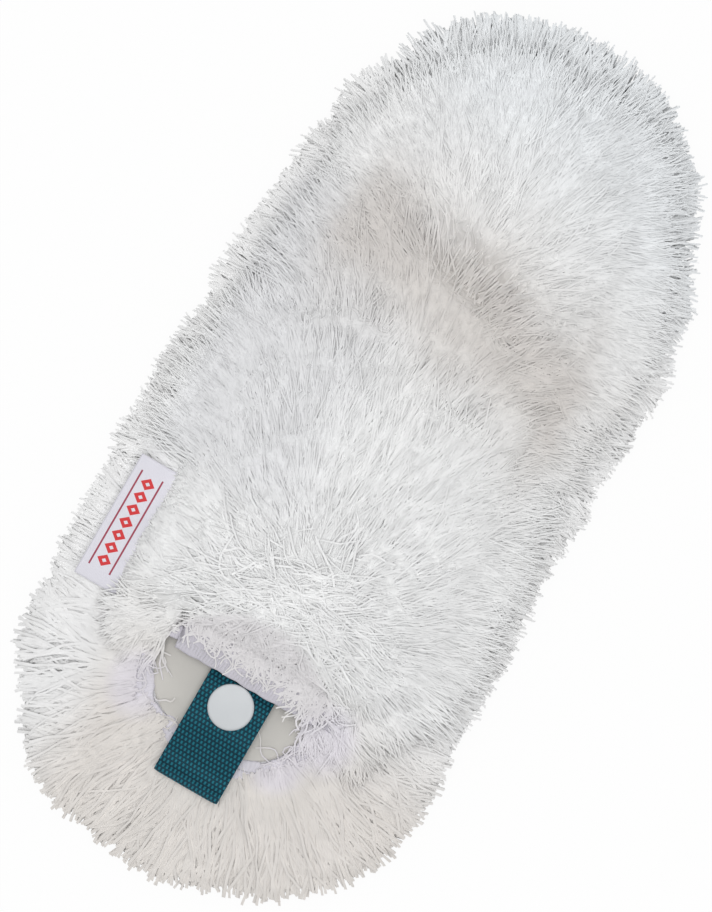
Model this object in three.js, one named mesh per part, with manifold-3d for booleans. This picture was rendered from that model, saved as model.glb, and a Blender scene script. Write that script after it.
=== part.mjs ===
// Slip-on duster cover: a lined fabric pocket with long pile on both faces, a folded webbing strap
// with a press stud at the mouth, and a woven label in the side seam.
// Millimetres. +X runs to the closed end, +Y to the label, +Z up. The origin lies under the middle.
import * as THREE from 'three';
import { mergeVertices } from 'three/addons/utils/BufferGeometryUtils.js';
import Module from 'manifold-3d';

const wasm = await Module();
wasm.setup();

// Pile, as it lies after a shake
const length = 330;
const width = 158;
const height = 58;
const lowerPile = 20;
const mouthReach = 45;
const endReach = 40;
const sideReach = 37;
const mouthPower = 3.6;
const endPower = 2.7;
const outlineSteps = 56;
const fringeDrop = 7.4;

// Heights as shares of the layer, and insets as shares of the side reach
const underShares = [[0, 0.43], [0.1, 0.24], [0.3, 0.08], [0.6, 0], [1, 0.06]];
const overShares = [
  [0.08, 0.22], [0.16, 0.4], [0.22, 0.6], [0.37, 0.68], [0.58, 0.81], [0.79, 1.03], [0.92, 1.3], [1, 1.62],
];

// Valleys that part the upper pile into three mounds
const endValley = 69;
const bandValley = 38;
const valleyTurn = THREE.MathUtils.degToRad(15);
const valleyWidth = 18;
const valleyDepth = 19;
const bandWidth = 12;
const bandDepth = 7;

// Where the upper pile starts, counted from the mouth end of the backing
const labelSideFront = 28;
const slantFront = 34;
const slantBack = 76;
const frontLean = 17;
const frontRise = 5;

// Fabric layers
const panelFabric = 1.2;
const liningFabric = 0.7;
const pocketHeight = 8.4;
const panelMouthPower = 4.1;
const hemBand = 7;
const hemHeight = 2.6;
const seamHeight = 5;
const shoulder = 13;
const shoulderShares = [[0, 0], [0.25, 0.48], [0.65, 0.85], [1, 1]];
const liningInset = 14;

// Upper hem, the lip of the mouth
const lipDepth = 11;
const lipWidth = 56;
const lipFabric = 1.6;
const lipSetback = 30.4;
const cornerSetback = 32;

// Strap and press stud
const mouthOffset = -2;
const webbing = 1.3;
const strapWidth = 25;
const strapBend = 10;
const snapSetback = 8.4;
const flapSetback = 0.4;
const sewnLength = 19;
const rampLength = 5;
const snapRadius = 8.05;
const capThickness = 1.4;
const capRim = 0.6;
const backRadius = 6;
const backThickness = 1.2;
const postRadius = 1.6;
const flangeRadius = 5.2;
const flangeThickness = 0.7;
const neckRadius = 2.3;
const bulbRadius = 3;
const studHeight = 3;
const neckShare = 0.52;
const bulbLowShare = 0.65;
const bulbHighShare = 0.78;
const crownShare = 0.6;
const socketRadius = 5.6;
const socketHeight = 2.7;
const socketLip = 0.3;
const grooveHeight = 0.8;
const grooveDepth = 0.6;
const socketRoof = 0.4;
const wireRadius = 0.28;
const springRadius = 3.1;
const springOpening = THREE.MathUtils.degToRad(40);
const roundSteps = 32;

// Label
const labelSetback = 35.4;
const labelLength = 47;
const labelDepth = 25.4;
const labelShown = 14;
const labelFabric = 0.6;
const labelHeight = 29;

// Threads
const thread = 0.6;
const threadRise = 0.3;
const hemThreadInset = 3.2;
const lipThreadInset = 3.6;
const boxThreadInset = 2.5;

// Clearances
const layerGap = 0.1;
const gap = 0.3;
const overrun = 4;

const colours = {
  pile: 0xe3e4e8,
  fringe: 0xe2ddd4,
  panel: 0xe9e9ef,
  lining: 0xe8e6dc,
  hem: 0xe6e3f2,
  strap: 0x0d5a63,
  metal: 0xb9bdc0,
  cap: 0xd6dadc,
  label: 0xf1f0f4,
  thread: 0xf4f3f8,
};

// Places worked out from the sizes above
const halfLength = length / 2;
const halfWidth = width / 2;
const panelHalfLength = (length - mouthReach - endReach) / 2;
const panelHalfWidth = halfWidth - sideReach;
const panelMiddle = (mouthReach - endReach) / 2;
const panelTop = lowerPile + panelFabric;
const liningTop = panelTop + layerGap + liningFabric;
const hemTop = lowerPile + hemHeight;
const ceiling = liningTop + pocketHeight;
const pouchTop = ceiling + panelFabric;
const lipTop = pouchTop + 2 * layerGap;
const pileFloor = pouchTop + gap;
const mouthX = -halfLength + mouthReach;
const lipFront = mouthX + lipSetback;
const lipHinge = lipFront + lipDepth;
const cornerX = mouthX + cornerSetback;
const lipLow = mouthOffset - lipWidth / 2;
const lipHigh = mouthOffset + lipWidth / 2;

const snapX = lipFront - snapSetback;
const backTop = liningTop + 2 * layerGap + backThickness;
const baseLow = backTop + layerGap;
const baseTop = baseLow + webbing;
const studFoot = baseTop + layerGap;
const flangeTop = studFoot + flangeThickness;
const studTop = studFoot + studHeight;
const socketLow = flangeTop + gap;
const socketTop = socketLow + socketHeight;
const flapLow = socketTop + layerGap;
const flapTop = flapLow + webbing;
const foldMiddle = (baseLow + flapTop) / 2;
const foldRadius = (flapTop - baseLow) / 2;
const foldX = mouthX - strapBend + foldRadius;
const flapEnd = lipFront - flapSetback;
const sewnLow = liningTop + layerGap;
const sewnEnd = lipFront + rampLength + sewnLength;

const labelLow = labelHeight - labelFabric;
const labelX = mouthX + labelSetback;
const labelMiddle = labelX + labelLength / 2;
const labelRootY = panelHalfWidth + 2 * gap;
const labelHingeY = labelRootY + labelDepth - labelShown;

// Closed-mesh helpers

function toSolid(geometry) {
  const plain = geometry.index ? geometry : geometry.clone();
  plain.deleteAttribute('normal');
  plain.deleteAttribute('uv');
  const merged = mergeVertices(plain);
  return new wasm.Manifold(new wasm.Mesh({
    numProp: 3,
    vertProperties: new Float32Array(merged.attributes.position.array),
    triVerts: new Uint32Array(merged.index.array),
  }));
}

function toGeometry(solid) {
  const mesh = solid.getMesh();
  const geometry = new THREE.BufferGeometry();
  geometry.setAttribute('position', new THREE.BufferAttribute(new Float32Array(mesh.vertProperties), 3));
  geometry.setIndex(new THREE.BufferAttribute(new Uint32Array(mesh.triVerts), 1));
  return geometry;
}

function cutAway(geometry, cutters) {
  return toGeometry(cutters.reduce((solid, cutter) => solid.subtract(toSolid(cutter)), toSolid(geometry)));
}

function keepInside(geometry, region) {
  return toGeometry(toSolid(geometry).intersect(toSolid(region)));
}

// A box given by its low and high corners
function block(low, high) {
  const size = high.map((value, axis) => value - low[axis]);
  const middle = high.map((value, axis) => (value + low[axis]) / 2);
  return new THREE.BoxGeometry(...size).translate(...middle);
}

// An outline in X and Z, drawn out along Y about the given middle
function prismAlongY(points, depth, middleY) {
  const geometry = new THREE.ExtrudeGeometry(new THREE.Shape(points), { depth, bevelEnabled: false });
  return geometry.rotateX(Math.PI / 2).translate(0, middleY + depth / 2, 0);
}

// An outline in X and Y, drawn up between two heights
function prismAlongZ(points, low, high, hole) {
  const shape = new THREE.Shape(points);
  if (hole) {
    shape.holes.push(new THREE.Path(hole));
  }
  const geometry = new THREE.ExtrudeGeometry(shape, { depth: high - low, bevelEnabled: false });
  return geometry.translate(0, 0, low);
}

// A turned piece standing on the Z axis, from radius and height pairs
function turned(profile) {
  const points = profile.map(([radius, level]) => new THREE.Vector2(radius, level));
  return new THREE.LatheGeometry(points, roundSteps).rotateX(Math.PI / 2);
}

// A rounded outline whose two ends are squarer or rounder by their powers
function roundedOutline(halfX, halfY, middleX, mouthEndPower, closedEndPower) {
  return Array.from({ length: outlineSteps }, (_, step) => {
    const angle = (2 * Math.PI * step) / outlineSteps;
    const across = Math.cos(angle);
    const up = Math.sin(angle);
    const power = 2 / (across < 0 ? mouthEndPower : closedEndPower);
    return new THREE.Vector2(
      middleX + halfX * Math.sign(across) * Math.abs(across) ** power,
      halfY * Math.sign(up) * Math.abs(up) ** power,
    );
  });
}

function pileOutline(inset) {
  return roundedOutline(halfLength - inset, halfWidth - inset, 0, mouthPower, endPower);
}

function panelOutline(inset) {
  return roundedOutline(
    panelHalfLength - inset,
    panelHalfWidth - inset,
    panelMiddle,
    panelMouthPower,
    endPower,
  );
}

// A closed skin over a list of outlines at their heights, with a fan of triangles at each end
function stackedSolid(rings) {
  const count = rings[0].outline.length;
  const positions = rings.flatMap(({ outline, level }) => outline.flatMap(({ x, y }) => [x, y, level]));
  const index = [];
  for (let ring = 0; ring + 1 < rings.length; ring += 1) {
    for (let step = 0; step < count; step += 1) {
      const next = (step + 1) % count;
      const a = ring * count + step;
      const b = ring * count + next;
      index.push(a, b, b + count, a, b + count, a + count);
    }
  }
  const first = positions.length / 3;
  const start = rings[0];
  const end = rings[rings.length - 1];
  for (const ring of [start, end]) {
    const middle = ring.outline.reduce((sum, point) => sum.add(point), new THREE.Vector2());
    middle.divideScalar(count);
    positions.push(middle.x, middle.y, ring.level);
  }
  const last = (rings.length - 1) * count;
  for (let step = 0; step < count; step += 1) {
    const next = (step + 1) % count;
    index.push(first, next, step, first + 1, last + step, last + next);
  }
  const geometry = new THREE.BufferGeometry();
  geometry.setAttribute('position', new THREE.Float32BufferAttribute(positions, 3));
  geometry.setIndex(index);
  return geometry;
}

// Pile

function pileRings() {
  const under = underShares.map(([up, inset]) => ({
    outline: pileOutline(inset * sideReach),
    level: up * lowerPile,
  }));
  const over = overShares.map(([up, inset]) => ({
    outline: pileOutline(inset * sideReach),
    level: lowerPile + up * (height - lowerPile),
  }));
  return [...under, ...over];
}

const wholePile = stackedSolid(pileRings());

// Everything ahead of the upper pile, open at the lip and slanted on the side away from the label
function frontRegion() {
  const leftX = mouthX + labelSideFront;
  const slope = (slantBack - slantFront) / (halfWidth + lipLow);
  const points = [
    new THREE.Vector2(-length, -width),
    new THREE.Vector2(mouthX + slantBack + halfWidth * slope, -width),
    new THREE.Vector2(mouthX + slantFront, lipLow - gap),
    new THREE.Vector2(lipHinge + gap, lipLow - gap),
    new THREE.Vector2(lipHinge + gap, lipHigh + gap),
    new THREE.Vector2(leftX, lipHigh + gap),
    new THREE.Vector2(leftX, width),
    new THREE.Vector2(-length, width),
  ];
  return prismAlongZ(points, lowerPile - overrun, height + overrun);
}

// The lean of the upper pile's front, back from the mouth
function frontLeanRegion() {
  const top = height + overrun;
  const foot = pileFloor + frontRise;
  return prismAlongY([
    new THREE.Vector2(-length, foot),
    new THREE.Vector2(lipHinge, foot),
    new THREE.Vector2(lipHinge + frontLean * (top - foot) / (height - foot), top),
    new THREE.Vector2(-length, top),
  ], 2 * width, 0);
}

// The slope from the lower hem down to the tips of the fringe
function fringeSlope() {
  const top = height + overrun;
  return prismAlongY([
    new THREE.Vector2(mouthX - gap, lowerPile),
    new THREE.Vector2(mouthX - gap, top),
    new THREE.Vector2(-length, top),
    new THREE.Vector2(-length, lowerPile - fringeDrop * (length + mouthX) / mouthReach),
  ], width + 2 * overrun, 0);
}

function lowerPileShape() {
  const level = lowerPile - layerGap;
  const kept = block([-length, -width, -overrun], [length, width, level]);
  return cutAway(keepInside(wholePile, kept), [fringeSlope()]);
}

// A slot for the label's root, open outwards where the label lies on the pile
function labelSlot() {
  const low = labelX - gap;
  const high = labelX + labelLength + gap;
  return [
    block([low, panelHalfWidth, labelLow - gap], [high, labelHingeY, labelHeight + gap]),
    block([low, labelHingeY - gap / 2, labelLow - gap], [high, width, height + overrun]),
  ];
}

function sidePileShape(region) {
  const layer = block([-length, -width, lowerPile], [length, width, pileFloor - layerGap]);
  const pouch = prismAlongZ(panelOutline(-gap), lowerPile - overrun, height);
  return cutAway(keepInside(keepInside(wholePile, layer), region), [pouch, frontRegion(), ...labelSlot()]);
}

// A stretch of the upper pile between two slanted planes
function moundShape(from, to) {
  const region = block([from + gap / 2, -length, pileFloor], [to - gap / 2, length, height + overrun]);
  const grooves = [
    grooveShape(endValley, valleyWidth, valleyDepth),
    grooveShape(bandValley, bandWidth, bandDepth),
  ];
  region.rotateZ(-valleyTurn);
  const cutters = [frontRegion(), frontLeanRegion(), ...grooves, ...labelSlot()];
  return cutAway(keepInside(wholePile, region), cutters);
}

function grooveShape(middle, across, depth) {
  const top = height + overrun;
  const half = across / 2 * (depth + overrun) / depth;
  const groove = prismAlongY([
    new THREE.Vector2(middle - half, top),
    new THREE.Vector2(middle, height - depth),
    new THREE.Vector2(middle + half, top),
  ], 2 * width, 0);
  return groove.rotateZ(-valleyTurn);
}

// Fabric pouch

function hemRing(level) {
  return prismAlongZ(panelOutline(0), lowerPile, level, panelOutline(hemBand));
}

function lowerHemShape() {
  const kept = block([-length, -width, 0], [cornerX - gap / 2, width, height]);
  return keepInside(hemRing(hemTop), kept);
}

function seamShape() {
  const kept = block([cornerX + gap / 2, -width, 0], [length, width, height]);
  return keepInside(hemRing(lowerPile + seamHeight), kept);
}

function lowerPanelShape() {
  return prismAlongZ(panelOutline(hemBand + gap), lowerPile, panelTop);
}

function lowerLiningShape() {
  return prismAlongZ(panelOutline(hemBand + gap), panelTop + layerGap, liningTop);
}

function mouthCuts() {
  return [
    block([-length, -width, 0], [cornerX, width, height]),
    block([-length, lipLow - gap, 0], [lipHinge, lipHigh + gap, height]),
  ];
}

function upperPanelShape() {
  const foot = lowerPile + seamHeight + layerGap;
  const outer = shoulderShares.map(([across, up]) => ({
    outline: panelOutline(gap + across * shoulder),
    level: foot + up * (pouchTop - foot),
  }));
  const inner = shoulderShares.map(([across, up]) => ({
    outline: panelOutline(gap + across * shoulder + panelFabric * (1 - up)),
    level: foot + up * (pouchTop - foot) - panelFabric * up,
  }));
  return cutAway(stackedSolid([...inner.reverse(), ...outer]), mouthCuts());
}

function upperLiningShape() {
  const top = ceiling - layerGap;
  return cutAway(prismAlongZ(panelOutline(liningInset), top - liningFabric, top), mouthCuts());
}

function lipShape() {
  return block([lipFront, lipLow, lipTop - lipFabric], [lipHinge - gap, lipHigh, lipTop]);
}

// Threads

function lipThreadShape() {
  const middle = lipFront + lipThreadInset;
  const low = lipTop + layerGap;
  return block(
    [middle - thread / 2, lipLow + thread, low],
    [middle + thread / 2, lipHigh - thread, low + threadRise],
  );
}

function hemThreadShape() {
  const low = hemTop + layerGap;
  const ring = prismAlongZ(
    panelOutline(hemThreadInset),
    low,
    low + threadRise,
    panelOutline(hemThreadInset + thread),
  );
  return keepInside(ring, block([-length, -width, 0], [cornerX - gap, width, height]));
}

function boxThreadShape() {
  const low = sewnLow + webbing + layerGap;
  const fromX = lipFront + rampLength + boxThreadInset;
  const toX = sewnEnd - boxThreadInset;
  const halfY = strapWidth / 2 - boxThreadInset;
  const outside = block([fromX, -halfY, low], [toX, halfY, low + threadRise]);
  const inside = block(
    [fromX + thread, -halfY + thread, low - overrun],
    [toX - thread, halfY - thread, low + overrun],
  );
  return cutAway(outside, [inside]).translate(0, mouthOffset, 0);
}

// Strap

function strapBaseShape() {
  const flatEnd = lipFront;
  const rampEnd = lipFront + rampLength;
  const run = prismAlongY([
    new THREE.Vector2(foldX + layerGap, baseLow),
    new THREE.Vector2(flatEnd, baseLow),
    new THREE.Vector2(rampEnd, sewnLow),
    new THREE.Vector2(sewnEnd, sewnLow),
    new THREE.Vector2(sewnEnd, sewnLow + webbing),
    new THREE.Vector2(rampEnd, sewnLow + webbing),
    new THREE.Vector2(flatEnd, baseTop),
    new THREE.Vector2(foldX + layerGap, baseTop),
  ], strapWidth, mouthOffset);
  return cutAway(run, [postHole(baseLow, baseTop)]);
}

function strapFlapShape() {
  const half = strapWidth / 2;
  const run = block(
    [foldX + layerGap, mouthOffset - half, flapLow],
    [flapEnd, mouthOffset + half, flapTop],
  );
  return cutAway(run, [postHole(flapLow, flapTop)]);
}

function strapFoldShape() {
  const shape = new THREE.Shape();
  shape.absarc(0, 0, foldRadius, Math.PI / 2, 3 * Math.PI / 2, false);
  shape.absarc(0, 0, foldRadius - webbing, 3 * Math.PI / 2, Math.PI / 2, true);
  const bend = prismAlongY(shape.getPoints(roundSteps / 4), strapWidth, mouthOffset);
  return bend.translate(foldX, 0, foldMiddle);
}

function postHole(low, high) {
  const reach = postRadius + gap;
  return turned([[0, low - overrun], [reach, low - overrun], [reach, high + overrun], [0, high + overrun]])
    .translate(snapX, mouthOffset, 0);
}

// Press stud, each piece turned about its own axis

function backCapShape() {
  return turned([
    [0, backTop - backThickness],
    [backRadius - capRim, backTop - backThickness],
    [backRadius, backTop - backThickness / 2],
    [backRadius, backTop],
    [postRadius, backTop],
    [postRadius, flangeTop],
    [0, flangeTop],
  ]);
}

function studShape() {
  const bore = postRadius + gap;
  return turned([
    [bore, studFoot],
    [flangeRadius, studFoot],
    [flangeRadius, flangeTop],
    [neckRadius, flangeTop],
    [neckRadius, studFoot + neckShare * studHeight],
    [bulbRadius, studFoot + bulbLowShare * studHeight],
    [bulbRadius, studFoot + bulbHighShare * studHeight],
    [crownShare * bulbRadius, studTop],
    [0, studTop],
    [0, flangeTop + gap],
    [bore, flangeTop + gap],
    [bore, studFoot],
  ]);
}

function socketShape() {
  const bore = bulbRadius + gap;
  const grooveLow = socketLow + socketLip;
  const grooveTop = grooveLow + grooveHeight;
  const roof = socketTop - socketRoof;
  const hole = postRadius + gap;
  return turned([
    [bore, socketLow],
    [socketRadius, socketLow],
    [socketRadius, socketTop],
    [hole, socketTop],
    [hole, roof],
    [bore, roof],
    [bore, grooveTop],
    [bore + grooveDepth, grooveTop],
    [bore + grooveDepth, grooveLow],
    [bore, grooveLow],
    [bore, socketLow],
  ]);
}

class OpenRing extends THREE.Curve {
  getPoint(share, target = new THREE.Vector3()) {
    const angle = springOpening / 2 + share * (2 * Math.PI - springOpening);
    return target.set(springRadius * Math.cos(angle), springRadius * Math.sin(angle), 0);
  }
}

function springShape() {
  const wire = new THREE.Shape().absarc(0, 0, wireRadius, 0, 2 * Math.PI, false);
  const options = { extrudePath: new OpenRing(), steps: roundSteps, curveSegments: 3, bevelEnabled: false };
  const ring = new THREE.ExtrudeGeometry(wire, options);
  return ring.translate(0, 0, socketLow + socketLip + grooveHeight / 2);
}

function capShape() {
  const low = flapTop + layerGap;
  const top = low + capThickness;
  const postFoot = socketTop - socketRoof + layerGap;
  return turned([
    [0, postFoot],
    [postRadius, postFoot],
    [postRadius, low],
    [snapRadius, low],
    [snapRadius, top - 1.5 * capRim],
    [snapRadius - capRim / 2, top - capRim / 2],
    [snapRadius - 2 * capRim, top],
    [0, top],
  ]);
}

// Label, a folded ribbon: its root in the seam and the end that shows

function labelRootShape() {
  return block(
    [labelX, labelRootY, labelLow],
    [labelX + labelLength, labelHingeY - gap, labelHeight],
  );
}

function labelFlapShape() {
  const half = labelLength / 2;
  return block([-half, 0, -labelFabric], [half, labelShown, 0]);
}

function piece(name, geometry, colour, roughness, metalness = 0) {
  const mesh = new THREE.Mesh(geometry, new THREE.MeshStandardMaterial({ color: colour, roughness, metalness }));
  mesh.name = name;
  return mesh;
}

function pileGroup() {
  const group = new THREE.Group();
  const split = panelMiddle + panelHalfLength - endReach / 2;
  const left = block([-length, 0, 0], [split - gap / 2, width, height]);
  const right = block([-length, -width, 0], [split - gap / 2, 0, height]);
  const end = block([split + gap / 2, -width, 0], [length, width, height]);
  group.add(
    piece('lower_pile', lowerPileShape(), colours.fringe, 0.95),
    piece('side_pile_left', sidePileShape(left), colours.pile, 0.95),
    piece('side_pile_right', sidePileShape(right), colours.pile, 0.95),
    piece('end_pile', sidePileShape(end), colours.pile, 0.95),
    piece('main_mound', moundShape(-length, bandValley), colours.pile, 0.95),
    piece('middle_mound', moundShape(bandValley, endValley), colours.pile, 0.95),
    piece('end_mound', moundShape(endValley, length), colours.pile, 0.95),
  );
  return group;
}

function pouchGroup() {
  const group = new THREE.Group();
  group.add(
    piece('lower_panel', lowerPanelShape(), colours.panel, 0.9),
    piece('lower_lining', lowerLiningShape(), colours.lining, 0.8),
    piece('lower_mouth_hem', lowerHemShape(), colours.hem, 0.9),
    piece('lower_hem_thread', hemThreadShape(), colours.thread, 0.8),
    piece('side_seam', seamShape(), colours.hem, 0.9),
    piece('upper_panel', upperPanelShape(), colours.panel, 0.9),
    piece('upper_lining', upperLiningShape(), colours.lining, 0.8),
    piece('upper_mouth_hem', lipShape(), colours.hem, 0.9),
    piece('upper_hem_thread', lipThreadShape(), colours.thread, 0.8),
  );
  return group;
}

function strapGroup() {
  const group = new THREE.Group();
  group.add(
    piece('strap_base', strapBaseShape(), colours.strap, 0.8),
    piece('strap_thread', boxThreadShape(), colours.strap, 0.8),
    piece('strap_fold', strapFoldShape(), colours.strap, 0.8),
    piece('strap_flap', strapFlapShape(), colours.strap, 0.8),
  );
  return group;
}

function snapGroup() {
  const group = new THREE.Group();
  group.position.set(snapX, mouthOffset, 0);
  group.add(
    piece('snap_back_cap', backCapShape(), colours.metal, 0.35, 1),
    piece('snap_stud', studShape(), colours.metal, 0.35, 1),
    piece('snap_socket', socketShape(), colours.metal, 0.35, 1),
    piece('snap_spring', springShape(), colours.metal, 0.3, 1),
    piece('snap_cap', capShape(), colours.cap, 0.4),
  );
  return group;
}

function labelGroup() {
  const group = new THREE.Group();
  const flap = piece('label_flap', labelFlapShape(), colours.label, 0.7);
  flap.position.set(labelMiddle, labelHingeY, labelHeight);
  group.add(piece('label_root', labelRootShape(), colours.label, 0.7), flap);
  return group;
}

const duster = new THREE.Group();
duster.add(pileGroup(), pouchGroup(), strapGroup(), snapGroup(), labelGroup());

export default duster;
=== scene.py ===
# Slip-on duster cover lying flat: long white yarn on both faces, a lined mouth,
# a folded teal strap with a press stud, and a ribbon label in the side seam.
import bpy
import bmesh
import math
import numpy as np
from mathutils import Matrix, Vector
from mathutils.bvhtree import BVHTree


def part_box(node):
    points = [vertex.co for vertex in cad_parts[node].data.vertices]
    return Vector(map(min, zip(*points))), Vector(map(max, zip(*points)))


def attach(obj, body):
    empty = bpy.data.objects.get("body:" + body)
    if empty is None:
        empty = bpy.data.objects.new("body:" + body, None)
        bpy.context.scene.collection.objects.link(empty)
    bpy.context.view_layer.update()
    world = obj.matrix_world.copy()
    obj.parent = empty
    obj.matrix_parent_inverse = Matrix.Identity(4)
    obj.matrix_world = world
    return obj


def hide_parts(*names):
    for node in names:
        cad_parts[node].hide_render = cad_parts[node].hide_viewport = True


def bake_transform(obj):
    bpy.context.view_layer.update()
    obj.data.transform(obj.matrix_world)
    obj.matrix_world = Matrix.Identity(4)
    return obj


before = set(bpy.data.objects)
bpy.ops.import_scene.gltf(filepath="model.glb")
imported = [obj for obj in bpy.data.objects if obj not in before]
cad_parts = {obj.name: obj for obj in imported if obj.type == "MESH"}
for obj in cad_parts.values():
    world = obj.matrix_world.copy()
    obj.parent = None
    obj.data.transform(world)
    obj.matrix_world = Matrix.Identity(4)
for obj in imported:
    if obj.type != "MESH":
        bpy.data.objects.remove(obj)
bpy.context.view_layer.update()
mm = 0.001


def cadCorners(node):
    low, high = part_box(node)
    return np.array(low) / mm, np.array(high) / mm


hemLow, seamHigh = cadCorners("lower_mouth_hem")[0], cadCorners("side_seam")[1]
upperHigh = cadCorners("upper_panel")[1]
lipLow, lipHigh = cadCorners("upper_mouth_hem")
liningLow, liningHigh = cadCorners("lower_lining")
baseLow, baseHigh = cadCorners("strap_base")
flapLow, flapHigh = cadCorners("strap_flap")
foldLow, foldHigh = cadCorners("strap_fold")
capLow, capHigh = cadCorners("snap_cap")
labelLow, labelHigh = cadCorners("label_flap")
rootLow, rootHigh = cadCorners("label_root")
print("frame read,", len(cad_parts), "nodes")


def addObject(name, data):
    made = bpy.data.objects.new(name, data)
    bpy.context.scene.collection.objects.link(made)
    return made


def addPiece(name, mesh, material, nodes, body=None):
    piece = addObject(name, mesh)
    mesh.materials.append(material)
    if nodes:
        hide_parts(*nodes)
    if body:
        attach(piece, body)
    return piece


def shapeMesh(name, shape):  # turns a bmesh into a smoothly shaded mesh
    for face in shape.faces:
        face.smooth = True
    mesh = bpy.data.meshes.new(name)
    shape.to_mesh(mesh)
    shape.free()
    return mesh


# Camera straight above, turned so that the closed end points to the upper right
camera = {"height": 1380, "aim": (-1.79, 3.92, 30), "turn": -60, "frameSide": 313.2, "sensor": 36}
lens = bpy.data.cameras.new("camera")
lens.sensor_width = camera["sensor"]
lens.lens = camera["sensor"] * camera["height"] / camera["frameSide"]
lens.clip_end = 20
eye = addObject("camera", lens)
eye.location = (np.array(camera["aim"]) + (0, 0, camera["height"])) * mm
eye.rotation_euler = (0, 0, math.radians(camera["turn"]))
bpy.context.scene.camera = eye


# A socket that takes part in sums, the nodes of one tree, and a material made of them
class Wire:
    def __init__(self, nodes, socket):
        self.nodes, self.socket = nodes, socket

    def math(self, operation, *others):
        return self.nodes.maths(operation, self, *others)

    def __add__(self, other):
        return self.math("ADD", other)

    def __sub__(self, other):
        return self.math("SUBTRACT", other)

    def __mul__(self, other):
        return self.math("MULTIPLY", other)

    def __truediv__(self, other):
        return self.math("DIVIDE", other)

    def __pow__(self, other):
        return self.math("POWER", other)

    def __abs__(self):
        return self.math("ABSOLUTE")

    def __rsub__(self, other):
        return self.nodes.maths("SUBTRACT", other, self)

    def __rtruediv__(self, other):
        return self.nodes.maths("DIVIDE", other, self)

    __radd__, __rmul__ = __add__, __mul__

    def over(self, low, high):  # 0 below low, 1 above high, smooth between
        inputs = {"Value": self, "From Min": low, "From Max": high}
        return self.nodes.node("ShaderNodeMapRange", {"interpolation_type": "SMOOTHSTEP"}, inputs)

    def wave(self, period):  # sine between 0 and 1
        return (self * (2 * math.pi / period)).math("SINE") * 0.5 + 0.5


class Nodes:
    def __init__(self, tree):
        self.tree = tree

    def node(self, kind, settings, inputs, output=0):
        made = self.tree.nodes.new(kind)
        for key, value in settings.items():
            setattr(made, key, value)
        for key, value in inputs.items():
            self.join(made.inputs[key], value)
        return Wire(self, made.outputs[output])

    def join(self, socket, value):
        if isinstance(value, Wire):
            self.tree.links.new(value.socket, socket)
        elif socket.type == "RGBA" and len(value) == 3:
            socket.default_value = (*value, 1)
        else:
            socket.default_value = value

    def maths(self, operation, *values):
        return self.node("ShaderNodeMath", {"operation": operation}, dict(enumerate(values)))

    def seen(self):  # 1 for what the camera, a reflection or clear material shows
        paths = self.tree.nodes.new("ShaderNodeLightPath").outputs
        direct, glossy, clear = (Wire(self, paths["Is %s Ray" % way]) for way in ("Camera", "Glossy", "Transmission"))
        return (direct + glossy + clear).math("MINIMUM", 1.0)


class Finish(Nodes):
    def __init__(self, name, roughness, specular=0.5):
        self.material = bpy.data.materials.new(name)
        self.material.use_nodes = True
        super().__init__(self.material.node_tree)
        self.shader = self.tree.nodes["Principled BSDF"]
        self.feed("Roughness", roughness)
        self.feed("Specular IOR Level", specular)

    def feed(self, name, value):
        self.join(self.shader.inputs[name], value)

    def place(self):  # Object coordinates in millimetres, whole and in parts
        spot = self.node("ShaderNodeTexCoord", {}, {}, "Object")
        spot = self.node("ShaderNodeVectorMath", {"operation": "SCALE"}, {0: spot, "Scale": 1000})
        split = self.tree.nodes.new("ShaderNodeSeparateXYZ")
        self.join(split.inputs[0], spot)
        return [spot] + [Wire(self, part) for part in split.outputs]

    def stored(self, title):  # an attribute of the mesh
        return self.node("ShaderNodeAttribute", {"attribute_name": title}, {}, "Fac")

    def join3(self, x, y, z):
        return self.node("ShaderNodeCombineXYZ", {}, {0: x, 1: y, 2: z})

    def noise(self, vector, size, detail=2.0):
        return self.node("ShaderNodeTexNoise", {}, {"Vector": vector, "Scale": 1 / size, "Detail": detail})

    def mix(self, factor, a, b, blend="MIX"):
        return self.node("ShaderNodeMix", {"data_type": "RGBA", "blend_type": blend}, {0: factor, 6: a, 7: b}, 2)

    def tint(self, colour, shade):  # the colour, lighter or darker from place to place
        self.feed("Base Color", self.mix(1.0, colour, self.join3(shade, shade, shade), "MULTIPLY"))

    def bump(self, height, distance):
        inputs = {"Height": height, "Distance": distance * mm, "Strength": 1.0}
        self.feed("Normal", self.node("ShaderNodeBump", {}, inputs))


# Outline of the pile seen from above: places along the length and the reach to each side.
# The backing is a rounded outline with a squarer mouth, and an arch ends the long yarn at the mouth
pileShape = {
    "left": [(-165, 2), (-155, 48), (-145, 56), (-135, 62), (-125, 71), (-115, 76), (-105, 78), (-90, 76), (-75, 79),
             (-50, 78), (-15, 80), (5, 81), (15, 77), (45, 79), (60, 77), (75, 75), (95, 74.5), (105, 72.5), (115, 70),
             (125, 64), (135, 60), (145, 52), (155, 43), (163, 25)],
    "right": [(-163, -16), (-155, -37), (-145, -57), (-135, -66), (-125, -74), (-115, -78), (-105, -80), (-85, -80),
              (-75, -77), (-45, -79), (-15, -75), (-5, -74), (5, -77), (35, -76), (65, -78), (75, -79), (85, -74),
              (95, -73), (105, -72), (115, -66), (125, -60), (135, -55), (145, -48), (155, -38), (164, -18)],
    "panelMiddle": (hemLow[0] + seamHigh[0]) / 2, "panelHalf": ((seamHigh[0] - hemLow[0]) / 2, seamHigh[1]),
    "mouthPower": 4.1, "endPower": 2.7, "whorl": (-57, -6), "endHeart": (58, 2), "mouthHeart": (-85, 0),
    "tilt": math.radians(15), "lockRise": 1.9, "archMiddle": -2, "archHalf": 32, "archTop": -65.5, "archFall": 15,
    "labelEdge": 53,  # the long yarn ends here, so that the label shows
}


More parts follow.
